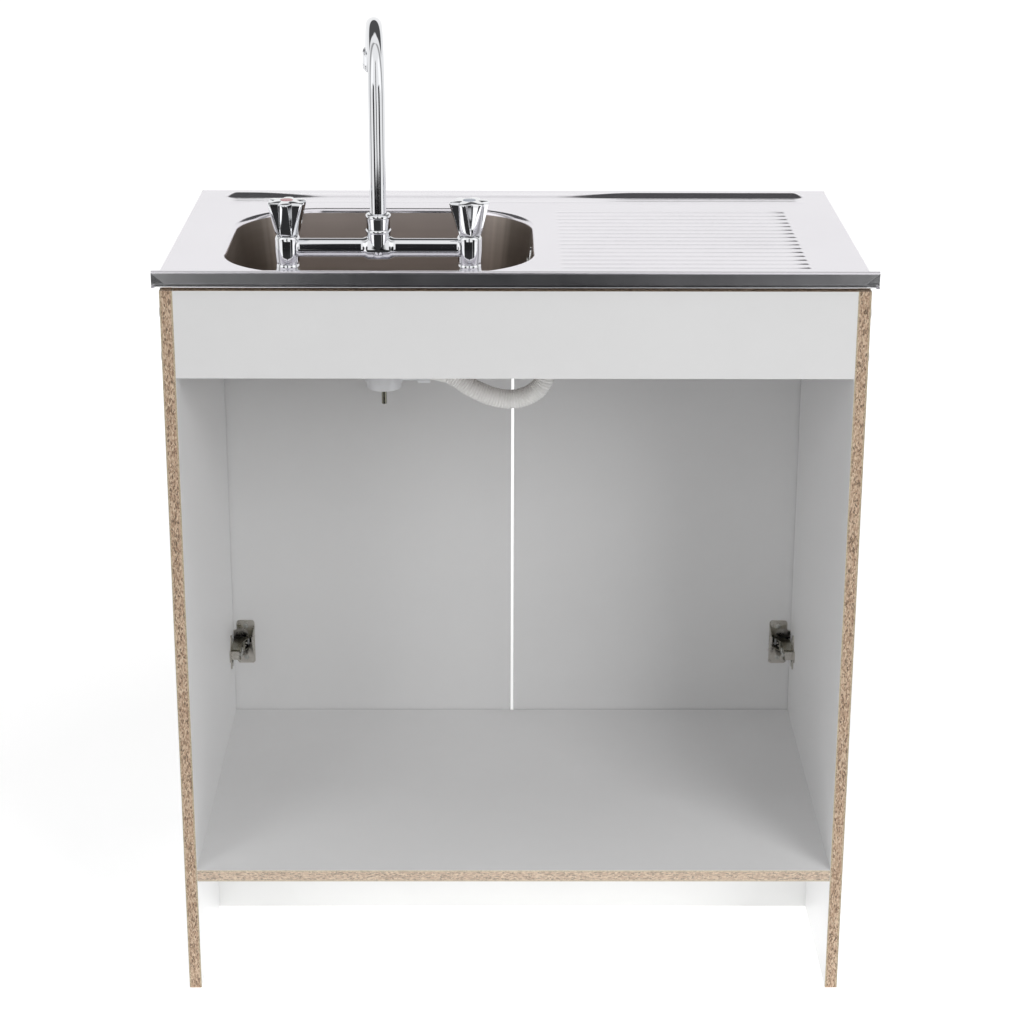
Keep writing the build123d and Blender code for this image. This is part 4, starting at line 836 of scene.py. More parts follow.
# ---- hinges, fittings and plumbing that keep their CAD shape
smallPieces = [
    ("hinge_plates", hingeNickel, "cabinet", "hinge_steel", 0.2 * mm),
    ("hinge_arms", armNickel, "cabinet", "hinge_steel", 0.15 * mm),
    ("hinge_arm_pins", pinSteel, "cabinet", "pin_steel"),
    ("waste_strainer", polishedSmall, "cabinet", "strainer_steel"),
    ("waste_body", whitePlastic, "cabinet", "waste_plastic"),
    ("waste_bolt", armNickel, "cabinet", "screw_steel"),
    ("port_nut", whitePlastic, "cabinet", "waste_plastic"),
    ("waste_top_seal", blackRubber, "cabinet", "rubber_seal"),
    ("waste_lower_seal", blackRubber, "cabinet", "rubber_seal"),
    ("overflow_face", polishedSmall, "cabinet", "strainer_steel"),
    ("overflow_screw", zincSteel, "cabinet", "screw_steel"),
    ("overflow_seal", blackRubber, "cabinet", "rubber_seal"),
    ("overflow_elbow", whitePlastic, "cabinet", "waste_plastic"),
    ("tap_base_seals", blackRubber, "cabinet", "rubber_seal"),
    ("tap_washers", fibreWasher, "cabinet", "washer_plastic"),
    ("tap_backnuts", turnedBrass, "cabinet", "brass_fitting", 0.3 * mm),
    ("valve_bonnets", chrome, "cabinet", "chrome"),
    ("valve_discs", discCeramic, "cabinet", "ceramic"),
    ("aerator", chrome, "spout", "chrome"),
    ("aerator_insert", polishedSmall, "spout", "strainer_steel"),
    ("spout_seal", blackRubber, "spout", "rubber_seal"),
    ("carcass_screws", zincSteel, "cabinet", "screw_steel"),
]
for side, indexFinish, indexSlot in (("hot", redCap, "red_index"), ("cold", blueCap, "blue_index")):
    smallPieces += [
        ("valve_spindle_" + side, turnedBrass, "handle_" + side, "brass_fitting"),
        ("index_cap_" + side, indexFinish, "handle_" + side, indexSlot),
    ]
for side in ("left", "right"):
    smallPieces += [
        ("hinge_outer_links_" + side, paintedShadeLinkSteel, "hinge_links_" + side, "hinge_steel", 0.1 * mm),
        ("hinge_inner_links_" + side, paintedShadeLinkSteel, "inner_links_" + side, "hinge_steel", 0.1 * mm),
        ("hinge_cups_" + side, hingeNickel, "door_" + side, "hinge_steel"),
        ("hinge_cup_pins_" + side, pinSteel, "door_" + side, "pin_steel"),
        ("door_handle_" + side, satinNickel, "door_" + side, "satin_steel"),
    ]
for values in smallPieces:
    cadCopy(*values)
print("fittings ready")

# ---- the bridge tap
tapValues = {
    "x": 151.5 * mm, "y": rearY - 32 * mm, "spacing": 201 * mm, "bridgeZ": deckTop + 33.5 * mm,
    "spoutRadius": 9 * mm, "spoutBore": 7.4 * mm,
    "spoutFoot": deckTop + 30.5 * mm, "spoutRise": deckTop + 191 * mm, "arcRadius": 75 * mm,
    "arcAngle": 150.0, "straightEnd": 9 * mm, "spoutTurn": 4.0, "threadPitch": 1.8 * mm,
    "threadDepth": 0.55 * mm,
}


def turnedPiece(name, verts, faces, body, node):
    # one chrome piece from its rings; the edges stay sharp above 38 degrees
    mesh = meshFrom(name, verts, faces)
    outward(mesh)
    shadeByAngle(mesh, 38)
    piece = addObject(name, mesh, chrome)
    ready(piece, body, "chrome", node)


def closeTube(faces, rows, around):
    # joins the last ring of a tube's skin to its first one
    last = (rows - 1) * around
    faces += [(last + k, last + (k + 1) % around, (k + 1) % around, k) for k in range(around)]


def columnProfile():
    z = deckTop
    base = z + 1.2 * mm
    profile = [(6.2 * mm, z - 55.9 * mm), (9.2 * mm, z - 56 * mm)]
    turns = int(40 * mm / tapValues["threadPitch"])
    for i in range(turns):
        low = z - 55 * mm + i * tapValues["threadPitch"]
        profile += [(10.48 * mm - tapValues["threadDepth"], low),
                    (10.45 * mm, low + 0.5 * tapValues["threadPitch"])]
    profile += [(9.7 * mm, z - 13.4 * mm), (9.7 * mm, z - 11.3 * mm), (10.4 * mm, z - 11 * mm),
                (10.4 * mm, base)]
    # (radius, height) in mm; close pairs keep the smooth shading straight beside a bend
    shape = [(15.9, 0.0), (16.2, 0.3), (16.2, 2.0), (15.9, 2.6), (14.8, 4.2), (13.9, 6.0), (13.4, 8.4),
             (13.0, 11.4), (12.8, 13.6), (12.3, 14.4), (12.3, 15.0), (12.7, 15.8), (13.0, 18.0), (13.4, 23.0),
             (13.65, 28.0), (13.7, 32.0), (13.7, 33.0), (13.7, 41.0), (13.7, 42.0), (13.6, 43.6),
             (13.1, 44.8), (12.3, 46.0), (11.8, 46.3), (11.0, 46.3)]
    profile += [(r * mm, base + h * mm) for r, h in shape]
    return profile


def buildTapBody():
    t = tapValues
    verts = []
    faces = []
    for side in (-1, 1):
        latheInto(verts, faces, columnProfile(), (t["x"] + side * t["spacing"] / 2, t["y"], 0), steps=80)
    # the bridge runs along X, with a flare at each valve body and a chamfered collar at the hub
    reach = (t["spacing"] / 2 - 10 * mm) / mm
    half = [(13.1, 10.5), (12.9, 12.0), (12.0, 13.9), (11.2, 15.5), (10.7, 16.9), (10.4, 18.4), (10.4, 19.2),
            (10.4, 60.0), (10.4, reach - 4.2), (10.4, reach - 3.4), (10.7, reach - 2.2), (11.2, reach - 1.2),
            (11.9, reach - 0.4), (12.2, reach)]
    profile = [(r * mm, -x * mm) for r, x in reversed(half)] + [(r * mm, x * mm) for r, x in half]
    latheInto(verts, faces, profile, (t["x"], t["y"], t["bridgeZ"]), axis=(1, 0, 0), steps=64)
    z = deckTop
    hub = [(3.0, 21.9), (4.0, 21.9), (5.0, 22.4), (8.7, 22.5), (12.6, 26.6), (13.2, 28.0), (13.2, 50.6),
           (13.4, 51.4), (14.0, 52.0), (14.1, 52.6), (14.1, 53.6), (13.9, 54.3), (13.3, 54.9), (10.0, 55.0)]
    latheInto(verts, faces, [(r * mm, z + h * mm) for r, h in hub], (t["x"], t["y"], 0), steps=80)
    turnedPiece("tapBody", verts, faces, "cabinet", "tap_body")


def buildSpoutNut():
    t = tapValues
    z = deckTop + 55.1 * mm
    shape = [(9.2, 0.1), (12.9, 0.0), (13.0, 0.3), (13.0, 11.6), (13.1, 12.2), (13.7, 12.7), (13.9, 13.4),
             (13.9, 15.2), (13.6, 16.0), (12.9, 16.6), (12.0, 16.9), (10.8, 16.9), (9.9, 16.3), (9.2, 15.4)]
    around = 80
    verts = []
    for radius, height in [(r * mm, z + h * mm) for r, h in shape]:
        for s in range(around):
            a = 2 * math.pi * s / around
            verts.append((t["x"] + radius * math.cos(a), t["y"] + radius * math.sin(a), height))
    faces = gridFaces(len(shape), around, True)
    closeTube(faces, len(shape), around)
    turnedPiece("spoutNut", verts, faces, "cabinet", "spout_nut")


def buildSpout():
    t = tapValues
    # the foot inside the nut, the straight rise, the arc and the straight end
    foot = t["spoutFoot"] + 19.5 * mm
    heights = [t["spoutFoot"], t["spoutFoot"] + 18.5 * mm]
    heights += [t["spoutRise"] * k + foot * (1 - k) for k in (0.0, 0.01, 0.5)]
    path = [(Vector((t["x"], t["y"], z)), Vector((0, 0, 1))) for z in heights]
    centre = Vector((t["x"], t["y"] - t["arcRadius"], t["spoutRise"]))
    count = 60
    for i in range(count + 1):
        a = math.radians(t["arcAngle"] * i / count)
        spot = centre + Vector((0, t["arcRadius"] * math.cos(a), t["arcRadius"] * math.sin(a)))
        path.append((spot, Vector((0, -math.sin(a), math.cos(a)))))
    path.append((path[-1][0] + path[-1][1] * t["straightEnd"], path[-1][1]))
    verts = []
    radii = [9.5 * mm, 9.5 * mm] + [t["spoutRadius"]] * (len(path) - 2)
    around = 64
    outer = [(spot, along, radius) for (spot, along), radius in zip(path, radii)]
    inner = [(spot, along, t["spoutBore"]) for spot, along in reversed(path)]
    for spot, along, radius in outer + inner:
        side = Vector((1, 0, 0))
        up = along.cross(side)
        for s in range(around):
            a = 2 * math.pi * s / around
            verts.append(spot + side * radius * math.cos(a) + up * radius * math.sin(a))
    rows = len(outer) + len(inner)
    faces = gridFaces(rows, around, True)
    closeTube(faces, rows, around)
    axis = Vector((t["x"], t["y"], 0))
    turn = (Matrix.Translation(axis) @ Matrix.Rotation(math.radians(t["spoutTurn"]), 4, "Z")
            @ Matrix.Translation(-axis))
    turnedPiece("spoutTube", [turn @ v for v in verts], faces, "spout", "spout")


# ---- tap handles: a cone with six V-shaped flutes and a scalloped crown
handleValues = {
    "foot": deckTop + 48.5 * mm, "height": 38.5 * mm, "footRadius": 13.2 * mm, "topRadius": 21.8 * mm,
    "lobes": 6, "grooveAngle": 19.0, "grooveDepth": 6.6 * mm, "shoulder": 3.2 * mm, "crownRise": 1.0 * mm,
    "capRadius": 7.1 * mm, "wallSteps": 3, "faceSteps": 6, "faceBulge": 1.1 * mm,
    "turns": {"hot": -4.0, "cold": 39.0},
}


def handleSection(share, inset=0.0):
    # one section as points: each flute's two straight walls, then the face of the lobe beside it
    h = handleValues
    radius = h["footRadius"] + (h["topRadius"] - h["footRadius"]) * share - inset
    pitch = 2 * math.pi / h["lobes"]
    groove = math.radians(2.0 + (h["grooveAngle"] - 2.0) * share ** 0.7)
    deep = Vector((radius - h["grooveDepth"] * share, 0))
    points = []
    for lobe in range(h["lobes"]):
        turn = Matrix.Rotation(lobe * pitch, 2)
        near = Vector((radius * math.cos(groove), -radius * math.sin(groove)))
        far = Vector((radius * math.cos(groove), radius * math.sin(groove)))
        local = [near.lerp(deep, k / h["wallSteps"]) for k in range(h["wallSteps"])]
        local += [deep.lerp(far, k / h["wallSteps"]) for k in range(h["wallSteps"])]
        nextEdge = Matrix.Rotation(pitch, 2) @ near
        out = (far + nextEdge).normalized() * h["faceBulge"] * (0.35 + 0.65 * share)
        for k in range(h["faceSteps"]):
            t = k / h["faceSteps"]
            local.append(far.lerp(nextEdge, t) + out * 4 * t * (1 - t))
        points += [turn @ p for p in local]
    return points


def buildHandle(side):
    h = handleValues
    x = tapValues["x"] + (1 if side == "hot" else -1) * tapValues["spacing"] / 2
    wall = h["height"] - h["shoulder"]
    rows = [([p * (4.3 * mm / p.length) for p in handleSection(0.0)], 0.0)]
    rows.append((handleSection(0.0, 0.7 * mm), 0.0))
    rows += [(handleSection(k / 16), max(0.5 * mm, wall * k / 16)) for k in range(17)]
    crown = handleSection(1.0)
    for k in range(1, 6):
        a = math.pi / 2 * k / 5
        inset = 2.2 * mm * (1 - math.cos(a))
        rise = (h["shoulder"] - h["crownRise"]) * math.sin(a)
        rows.append(([p * (1 - inset / p.length) for p in crown], wall + rise))
    top, z = rows[-1]
    for k in range(1, 6):
        rows.append(([p.lerp(p * (h["capRadius"] / p.length), k / 5) for p in top],
                     z + h["crownRise"] * math.sin(math.pi / 2 * k / 5)))
    top, z = rows[-1]
    rows.append((top, z - 0.8 * mm))
    spin = Matrix.Rotation(math.radians(h["turns"][side]), 2)
    verts = []
    for points, z in rows:
        verts += [(x + q.x, tapValues["y"] + q.y, h["foot"] + z) for q in (spin @ p for p in points)]
    around = len(rows[0][0])
    faces = gridFaces(len(rows), around, True)
    for ring in (0, len(rows) - 1):
        centre = len(verts)
        verts.append((x, tapValues["y"], h["foot"] + rows[ring][1]))
        faces += [(ring * around + k, ring * around + (k + 1) % around, centre) for k in range(around)]
    mesh = meshFrom("tapHandle" + side.title(), verts, faces)
    outward(mesh)
    shadeByAngle(mesh, 24)
    piece = addObject("tapHandle" + side.title(), mesh, chrome)
    ease = piece.modifiers.new("easedEdges", "BEVEL")
    ease.width = 0.45 * mm
    ease.segments = 3
    ease.limit_method = "ANGLE"
    ease.angle_limit = math.radians(24)
    ease.harden_normals = True
    ready(piece, "handle_" + side, "chrome", "tap_handle_" + side)


buildTapBody()
buildSpoutNut()
buildSpout()
buildHandle("hot")
buildHandle("cold")
print("tap ready")


# ---- Geometry Nodes trees
def geometryTree(name, inputs):
    tree = bpy.data.node_groups.new(name, "GeometryNodeTree")
    tree.is_modifier = True
    tree.interface.new_socket(name="Geometry", in_out="INPUT", socket_type="NodeSocketGeometry")
    for label, kind, value in inputs:
        socket = tree.interface.new_socket(name=label, in_out="INPUT", socket_type=kind)
        if value is not None:
            socket.default_value = value
    tree.interface.new_socket(name="Geometry", in_out="OUTPUT", socket_type="NodeSocketGeometry")
    return tree, tree.nodes.new("NodeGroupInput"), tree.nodes.new("NodeGroupOutput")


def socketKey(tree, label):
    for item in tree.interface.items_tree:
        if item.item_type == "SOCKET" and item.in_out == "INPUT" and item.name == label:
            return item.identifier


def asMesh(piece, name, material):
    # the evaluated result becomes a plain mesh and the modifier goes
    depsgraph = bpy.context.evaluated_depsgraph_get()
    mesh = bpy.data.meshes.new_from_object(piece.evaluated_get(depsgraph))
    mesh.name = name
    result = addObject(name, mesh, material)
    bpy.data.objects.remove(piece)
    return result


# pieces set on points, each turned by the points' own "turn" attribute
scatterTree, treeIn, treeOut = geometryTree("setOnPoints", [
    ("Piece", "NodeSocketObject", None), ("Size", "NodeSocketFloat", 1.0),
    ("Finish", "NodeSocketMaterial", None), ("Turn Seed", "NodeSocketInt", 3),
    ("Turn Spread", "NodeSocketFloat", 0.0)])
info = put(scatterTree, "GeometryNodeObjectInfo", transform_space="ORIGINAL")
wire(treeIn.outputs["Piece"], info.inputs["Object"])
turnAttribute = put(scatterTree, "GeometryNodeInputNamedAttribute", data_type="FLOAT_VECTOR")
turnAttribute.inputs["Name"].default_value = "turn"
place = put(scatterTree, "GeometryNodeInstanceOnPoints")
wire(treeIn.outputs["Geometry"], place.inputs["Points"])
wire(info.outputs["Geometry"], place.inputs["Instance"])
wire(turnAttribute.outputs[0], place.inputs["Rotation"])
wire(treeIn.outputs["Size"], place.inputs["Scale"])
spin = put(scatterTree, "FunctionNodeRandomValue", data_type="FLOAT")
wire(mathNode(scatterTree, "MULTIPLY", treeIn.outputs["Turn Spread"], -1.0), spin.inputs[2])
wire(treeIn.outputs["Turn Spread"], spin.inputs[3])
wire(treeIn.outputs["Turn Seed"], spin.inputs["Seed"])
spinVector = put(scatterTree, "ShaderNodeCombineXYZ")
wire(spin.outputs[1], spinVector.inputs["Z"])
rotate = put(scatterTree, "GeometryNodeRotateInstances")
wire(place.outputs[0], rotate.inputs["Instances"])
wire(spinVector.outputs[0], rotate.inputs["Rotation"])
real = put(scatterTree, "GeometryNodeRealizeInstances")
wire(rotate.outputs[0], real.inputs[0])
finish = put(scatterTree, "GeometryNodeSetMaterial")
wire(real.outputs[0], finish.inputs["Geometry"])
wire(treeIn.outputs["Finish"], finish.inputs["Material"])
wire(finish.outputs[0], treeOut.inputs[0])


def lathePiece(name, profile, steps=32):
    verts = []
    faces = []
    latheInto(verts, faces, [(r * mm, z * mm) for r, z in profile], (0, 0, 0), steps=steps)
    mesh = meshFrom(name, verts, faces)
    outward(mesh)
    shadeByAngle(mesh, 35)
    return addObject(name, mesh)


def crossScrew(name, profile, cross, depth, top):
    # a turned screw whose head is cut by a tapered cross
    screw = lathePiece(name, profile)
    work = bmesh.new()
    for turn in (0, 90):
        bar = bmesh.ops.create_cube(work, size=1.0)
        for v in bar["verts"]:
            taper = 0.45 if v.co.z < 0 else 1.0
            v.co = Vector((v.co.x * 2 * cross * taper, v.co.y * 0.24 * cross, top + v.co.z * 2 * depth)) * mm
        bmesh.ops.rotate(work, verts=bar["verts"], matrix=Matrix.Rotation(math.radians(turn), 3, "Z"))
    cutterMesh = bpy.data.meshes.new(name + "Cross")
    bmesh.ops.recalc_face_normals(work, faces=work.faces)
    work.to_mesh(cutterMesh)
    work.free()
    cutter = addObject(name + "Cross", cutterMesh)
    cut = screw.modifiers.new("cross", "BOOLEAN")
    cut.object = cutter
    cut.operation = "DIFFERENCE"
    cut.use_self = True
    depsgraph = bpy.context.evaluated_depsgraph_get()
    mesh = bpy.data.meshes.new_from_object(screw.evaluated_get(depsgraph))
    bpy.data.objects.remove(screw)
    bpy.data.objects.remove(cutter)
    shadeByAngle(mesh, 35)
    return addObject(name, mesh)


def setOnPoints(node, template, points, turns, body, slotName, material, spread, seed=3):
    # one copy of the template on each point, turned about its own axis by up to the spread
    name = camelName(node)
    mesh = bpy.data.meshes.new(name + "Points")
    mesh.from_pydata(points, [], [])
    turn = mesh.attributes.new("turn", "FLOAT_VECTOR", "POINT")
    for index, value in enumerate(turns):
        turn.data[index].vector = value
    holder = addObject(name + "Holder", mesh)
    scatter = holder.modifiers.new("setOnPoints", "NODES")
    scatter.node_group = scatterTree
    values = {"Piece": template, "Size": 1.0, "Finish": material, "Turn Seed": seed, "Turn Spread": spread}
    for label, value in values.items():
        scatter[socketKey(scatterTree, label)] = value
    ready(asMesh(holder, name, material), body, slotName, node)


# ---- screws and caps: (radius, height) profiles in mm, each with its head along +Z
screwValues = {
    "cap": [(6.5, 0.0), (6.5, 0.45), (6.2, 0.8), (5.4, 0.98), (2.2, 1.0), (2.0, 0.92), (0.4, 0.92)],
    "cup": [(0.3, -13.0), (1.7, -11.0), (1.75, -0.4), (3.3, 0.0), (3.4, 0.35), (3.1, 0.8), (2.2, 1.12),
            (0.9, 1.2)],
    "plate": [(0.4, -11.4), (2.4, -9.6), (2.45, -0.4), (4.3, 0.0), (4.5, 0.5), (4.1, 1.1), (2.9, 1.5),
              (1.2, 1.6)],
    "arm": [(2.3, -8.8), (2.45, -0.2), (3.6, 0.0), (4.0, 0.4), (4.0, 1.5), (3.7, 1.95), (1.5, 2.0)],
    "handle": [(1.7, -24.0), (1.9, -23.0), (1.95, -0.2), (3.9, 0.0), (4.2, 0.4), (3.8, 1.0), (2.7, 1.45),
               (1.1, 1.6)],
    # half length of the cross, its depth and the height of the head's top
    "crosses": {"cup": (1.9, 0.7, 1.2), "plate": (2.6, 0.9, 1.6), "arm": (2.5, 1.0, 2.0),
                "handle": (2.3, 0.8, 1.6)},
    "spread": 1.5, "capSpread": 3.0,
}
templates = {"cap": lathePiece("capTemplate", screwValues["cap"], 40)}
for kind, cross in screwValues["crosses"].items():
    templates[kind] = crossScrew(kind + "ScrewTemplate", screwValues[kind], *cross)

# where the boards lie, for their screws and hinges
boardValues = {
    "halfWidth": 392.5 * mm, "height": 868 * mm, "shelfTop": 158.5 * mm, "doorLow": 145.5 * mm,
    "doorTop": 864 * mm, "hingeEnd": 113 * mm,
}
boards = boardValues
halfBoard = boardThickness / 2
hingeHeights = (boards["doorLow"] + boards["hingeEnd"], boards["doorTop"] - boards["hingeEnd"])
screwPlaces = [(rearY - d * mm, boards["shelfTop"] - halfBoard) for d in (60.0, 237.5, 415.0)]
screwPlaces += [(rearY - halfBoard, boards["height"] - d * mm) for d in (25.0, 75.0)]
screwPlaces += [(frontY + halfBoard, boards["height"] - d * mm) for d in (15.0, 45.0)]
screwPlaces += [(boardMiddles["plinth"], z * mm) for z in (35.0, 105.0)]
capPoints = [(sign * boards["halfWidth"], y, z) for sign in (-1, 1) for y, z in screwPlaces]
capTurns = [(0, sign * math.pi / 2, 0) for sign in (-1, 1) for _ in screwPlaces]
setOnPoints("screw_caps", templates["cap"], capPoints, capTurns, "cabinet", "cap_plastic", capPlastic,
            screwValues["capSpread"])

plateX = boards["halfWidth"] - 16.5 * mm
armX = boards["halfWidth"] - 29.0 * mm
platePoints = []
plateTurns = []
armPoints = []
for sign in (-1, 1):
    for z in hingeHeights:
        for dz in (-16.0, 16.0):
            platePoints.append((sign * plateX, frontY + 37 * mm, z + dz * mm))
            plateTurns.append((0, -sign * math.pi / 2, 0))
        for dy in (45.0, 31.0):
            armPoints.append((sign * armX, frontY + dy * mm, z))
setOnPoints("hinge_plate_screws", templates["plate"], platePoints, plateTurns, "cabinet", "screw_steel",
            zincSteel, screwValues["spread"], 7)
setOnPoints("hinge_arm_screws", templates["arm"], armPoints, plateTurns, "cabinet", "screw_steel",
            zincSteel, screwValues["spread"], 11)
for sign, side in ((-1, "left"), (1, "right")):
    cups = [(sign * (boards["halfWidth"] - 31.7 * mm), frontY - 1.0 * mm, z + dz * mm)
            for z in hingeHeights for dz in (-22.5, 22.5)]
    grips = [(sign * 39.8 * mm, frontY - 2.0 * mm, z * mm) for z in (704.0, 800.0)]
    rows = {"hinge_cup_screws_": ("cup", cups, 5), "handle_screws_": ("handle", grips, 9)}
    for node, (kind, points, seed) in rows.items():
        setOnPoints(node + side, templates[kind], points, [(-math.pi / 2, 0, 0)] * len(points),
                    "door_" + side, "screw_steel", zincSteel, screwValues["spread"], seed)
for template in templates.values():
    bpy.data.objects.remove(template)
print("screws ready")

# ---- the ribbed overflow hose
hoseValues = {
    "start": (101.0 * mm, 39.0 * mm, 715.0 * mm), "radius": 11.75 * mm, "valley": 10.8 * mm,
    "pitch": 3.4 * mm, "cuff": 22 * mm, "resolution": 0.45 * mm, "around": 40,
    "bow": [(81.0, 715.0), (45.0, 688.0), (8.0, 677.0)],
    "rise": [(-20.0, 683.5), (-37.6, 701.0), (-39.7, 735.0), (-38.9, 775.0), (-38.9, 824.0)],
}


def hoseFinish():
    material, tree, shader, place = newMaterial("hosePlastic", Subsurface_Weight=0.25, IOR=1.46)
    shader.inputs["Subsurface Radius"].default_value = (0.01, 0.01, 0.01)
    shader.inputs["Subsurface Scale"].default_value = 0.3
    marks = handled(tree, place, 30.0, 0.26, 0.4)
    wire(marks.outputs["Roughness"], shader.inputs["Roughness"])
    cloud = noiseNode(tree, place.outputs["Object"], 120.0, 3.0, 0.6)
    base = mixColour(tree, rangeNode(tree, cloud, 0.35, 0.65), (0.89, 0.88, 0.86), (0.94, 0.93, 0.91))
    wire(base, shader.inputs["Base Color"])
    bumpInto(tree, shader, noiseNode(tree, place.outputs["Object"], 2200.0, 2.0, 0.6), 0.15, 0.0002)
    return material


hosePlastic = hoseFinish()
ribTree, treeIn, treeOut = geometryTree("ribbedTube", [
    ("Radius", "NodeSocketFloat", 0.0118), ("Valley", "NodeSocketFloat", 0.0102),
    ("Pitch", "NodeSocketFloat", 0.0037), ("Cuff", "NodeSocketFloat", 0.022),
    ("Step", "NodeSocketFloat", 0.00045), ("Around", "NodeSocketInt", 40),
    ("Finish", "NodeSocketMaterial", None)])
resample = put(ribTree, "GeometryNodeResampleCurve")
resample.mode = "LENGTH"
wire(treeIn.outputs["Geometry"], resample.inputs["Curve"])
wire(treeIn.outputs["Step"], resample.inputs["Length"])
along = put(ribTree, "GeometryNodeSplineParameter")
whole = put(ribTree, "GeometryNodeSplineLength")
wave = mathNode(ribTree, "COSINE", mathNode(ribTree, "MULTIPLY", mathNode(
    ribTree, "DIVIDE", along.outputs["Length"], treeIn.outputs["Pitch"]), 2 * math.pi))
wave = mathNode(ribTree, "MULTIPLY", mathNode(ribTree, "ADD", wave, 1.0), 0.5)
wave = mathNode(ribTree, "POWER", wave, 0.6)
fromEnd = mathNode(ribTree, "MINIMUM", along.outputs["Length"],
                   mathNode(ribTree, "SUBTRACT", whole.outputs["Length"], along.outputs["Length"]))
inCuff = mathNode(ribTree, "LESS_THAN", fromEnd, treeIn.outputs["Cuff"])
share = mathNode(ribTree, "MAXIMUM", wave, inCuff)
depth = mathNode(ribTree, "SUBTRACT", treeIn.outputs["Radius"], treeIn.outputs["Valley"])
size = mathNode(ribTree, "ADD", treeIn.outputs["Valley"], mathNode(ribTree, "MULTIPLY", share, depth))
setRadius = put(ribTree, "GeometryNodeSetCurveRadius")
wire(resample.outputs[0], setRadius.inputs["Curve"])
wire(size, setRadius.inputs["Radius"])
ring = put(ribTree, "GeometryNodeCurvePrimitiveCircle")
wire(treeIn.outputs["Around"], ring.inputs["Resolution"])
ring.inputs["Radius"].default_value = 1.0
tube = put(ribTree, "GeometryNodeCurveToMesh")
wire(setRadius.outputs[0], tube.inputs["Curve"])
wire(ring.outputs[0], tube.inputs["Profile Curve"])
radiusOut = put(ribTree, "GeometryNodeInputRadius")
wire(radiusOut.outputs[0], tube.inputs["Scale"])
tube.inputs["Fill Caps"].default_value = True
realTube = put(ribTree, "GeometryNodeRealizeInstances")
wire(tube.outputs[0], realTube.inputs[0])
tubeFinish = put(ribTree, "GeometryNodeSetMaterial")
wire(realTube.outputs[0], tubeFinish.inputs["Geometry"])
wire(treeIn.outputs["Finish"], tubeFinish.inputs["Material"])
wire(tubeFinish.outputs[0], treeOut.inputs[0])


def buildHose():
    h = hoseValues
    start = Vector(h["start"])
    points = [start] + [Vector((x * mm, start.y, z * mm)) for x, z in h["bow"] + h["rise"]]
    curve = bpy.data.curves.new("overflowHoseRoute", "CURVE")
    curve.dimensions = "3D"
    curve.resolution_u = 24
    spline = curve.splines.new("NURBS")
    spline.points.add(len(points) - 1)
    for item, point in zip(spline.points, points):
        item.co = (*point, 1.0)
    spline.order_u = 3
    spline.use_endpoint_u = True
    route = addObject("overflowHoseRoute", curve)
    depsgraph = bpy.context.evaluated_depsgraph_get()
    line = bpy.data.meshes.new_from_object(route.evaluated_get(depsgraph))
    ribs = route.modifiers.new("ribbedTube", "NODES")
    ribs.node_group = ribTree
    values = {"Radius": h["radius"], "Valley": h["valley"], "Pitch": h["pitch"], "Cuff": h["cuff"],
              "Step": h["resolution"], "Around": h["around"], "Finish": hosePlastic}
    for label, value in values.items():
        ribs[socketKey(ribTree, label)] = value
    piece = asMesh(route, "overflowHose", hosePlastic)
    outward(piece.data)
    shadeByAngle(piece.data, 60)
    ready(piece, "cabinet", "hose_plastic", "overflow_hose")


buildHose()
print("hose ready")

# ---- floor, studio and camera
studioValues = {
    "floorSize": 40.0, "floorGlow": 0.6, "bleachNear": 0.62, "bleachFar": 1.0, "floorMirror": 0.85,
    "paperReach": 0.3, "worldStrength": 0.14, "windowGlow": 0.25,
    "keyPower": 56.0, "fillPower": 29.0, "topPower": 26.0,
}


# how dark the studio is in a reflection, by direction: a dark floor and a tall stand behind the camera,
# a low post at each side of it, a dark ceiling on the far side, a grey flag at each side, and white paper
shadeGroup, groupIn, groupOut = shaderGroup(
    "studioShade", [("Vector", "NodeSocketVector", None)],
    [("Dark", "NodeSocketFloat"), ("Window", "NodeSocketFloat")])
shadeDirection = put(shadeGroup, "ShaderNodeVectorMath", operation="NORMALIZE")
wire(groupIn.outputs["Vector"], shadeDirection.inputs[0])
shadeParts = put(shadeGroup, "ShaderNodeSeparateXYZ")
wire(shadeDirection.outputs[0], shadeParts.inputs[0])
azimuth = mathNode(shadeGroup, "DIVIDE", mathNode(
    shadeGroup, "ARCTAN2", shadeParts.outputs[0], shadeParts.outputs[1]), math.pi)
aside = mathNode(shadeGroup, "ABSOLUTE", azimuth)
height = shadeParts.outputs[2]


def band(value, low, high, soft):
    # one inside the limits, zero outside them
    return mathNode(shadeGroup, "MULTIPLY", rangeNode(shadeGroup, value, low - soft, low + soft),
                    rangeNode(shadeGroup, value, high + soft, high - soft))


darkFloor = mathNode(shadeGroup, "MULTIPLY", band(azimuth, -0.16, 0.20, 0.012),
                     rangeNode(shadeGroup, height, -0.175, -0.19))
stand = mathNode(shadeGroup, "MULTIPLY", band(azimuth, -0.014, 0.042, 0.006),
                 rangeNode(shadeGroup, height, 0.88, 0.84))
posts = mathNode(shadeGroup, "MAXIMUM", band(azimuth, 0.17, 0.28, 0.01), band(azimuth, -0.27, -0.16, 0.01))
posts = mathNode(shadeGroup, "MULTIPLY", posts, rangeNode(shadeGroup, height, 0.35, 0.30))
uprights = mathNode(shadeGroup, "MAXIMUM", stand, posts)
flags = mathNode(shadeGroup, "MULTIPLY", band(aside, 0.46, 0.56, 0.02), 0.6)
ceiling = mathNode(shadeGroup, "MULTIPLY", band(height, 0.42, 0.92, 0.02),
                   rangeNode(shadeGroup, shadeParts.outputs[1], -0.28, -0.34, 0.0, 0.93))
dark = mathNode(shadeGroup, "MAXIMUM", mathNode(shadeGroup, "MAXIMUM", darkFloor, uprights),
                mathNode(shadeGroup, "MAXIMUM", flags, ceiling))
wire(dark, groupOut.inputs["Dark"])
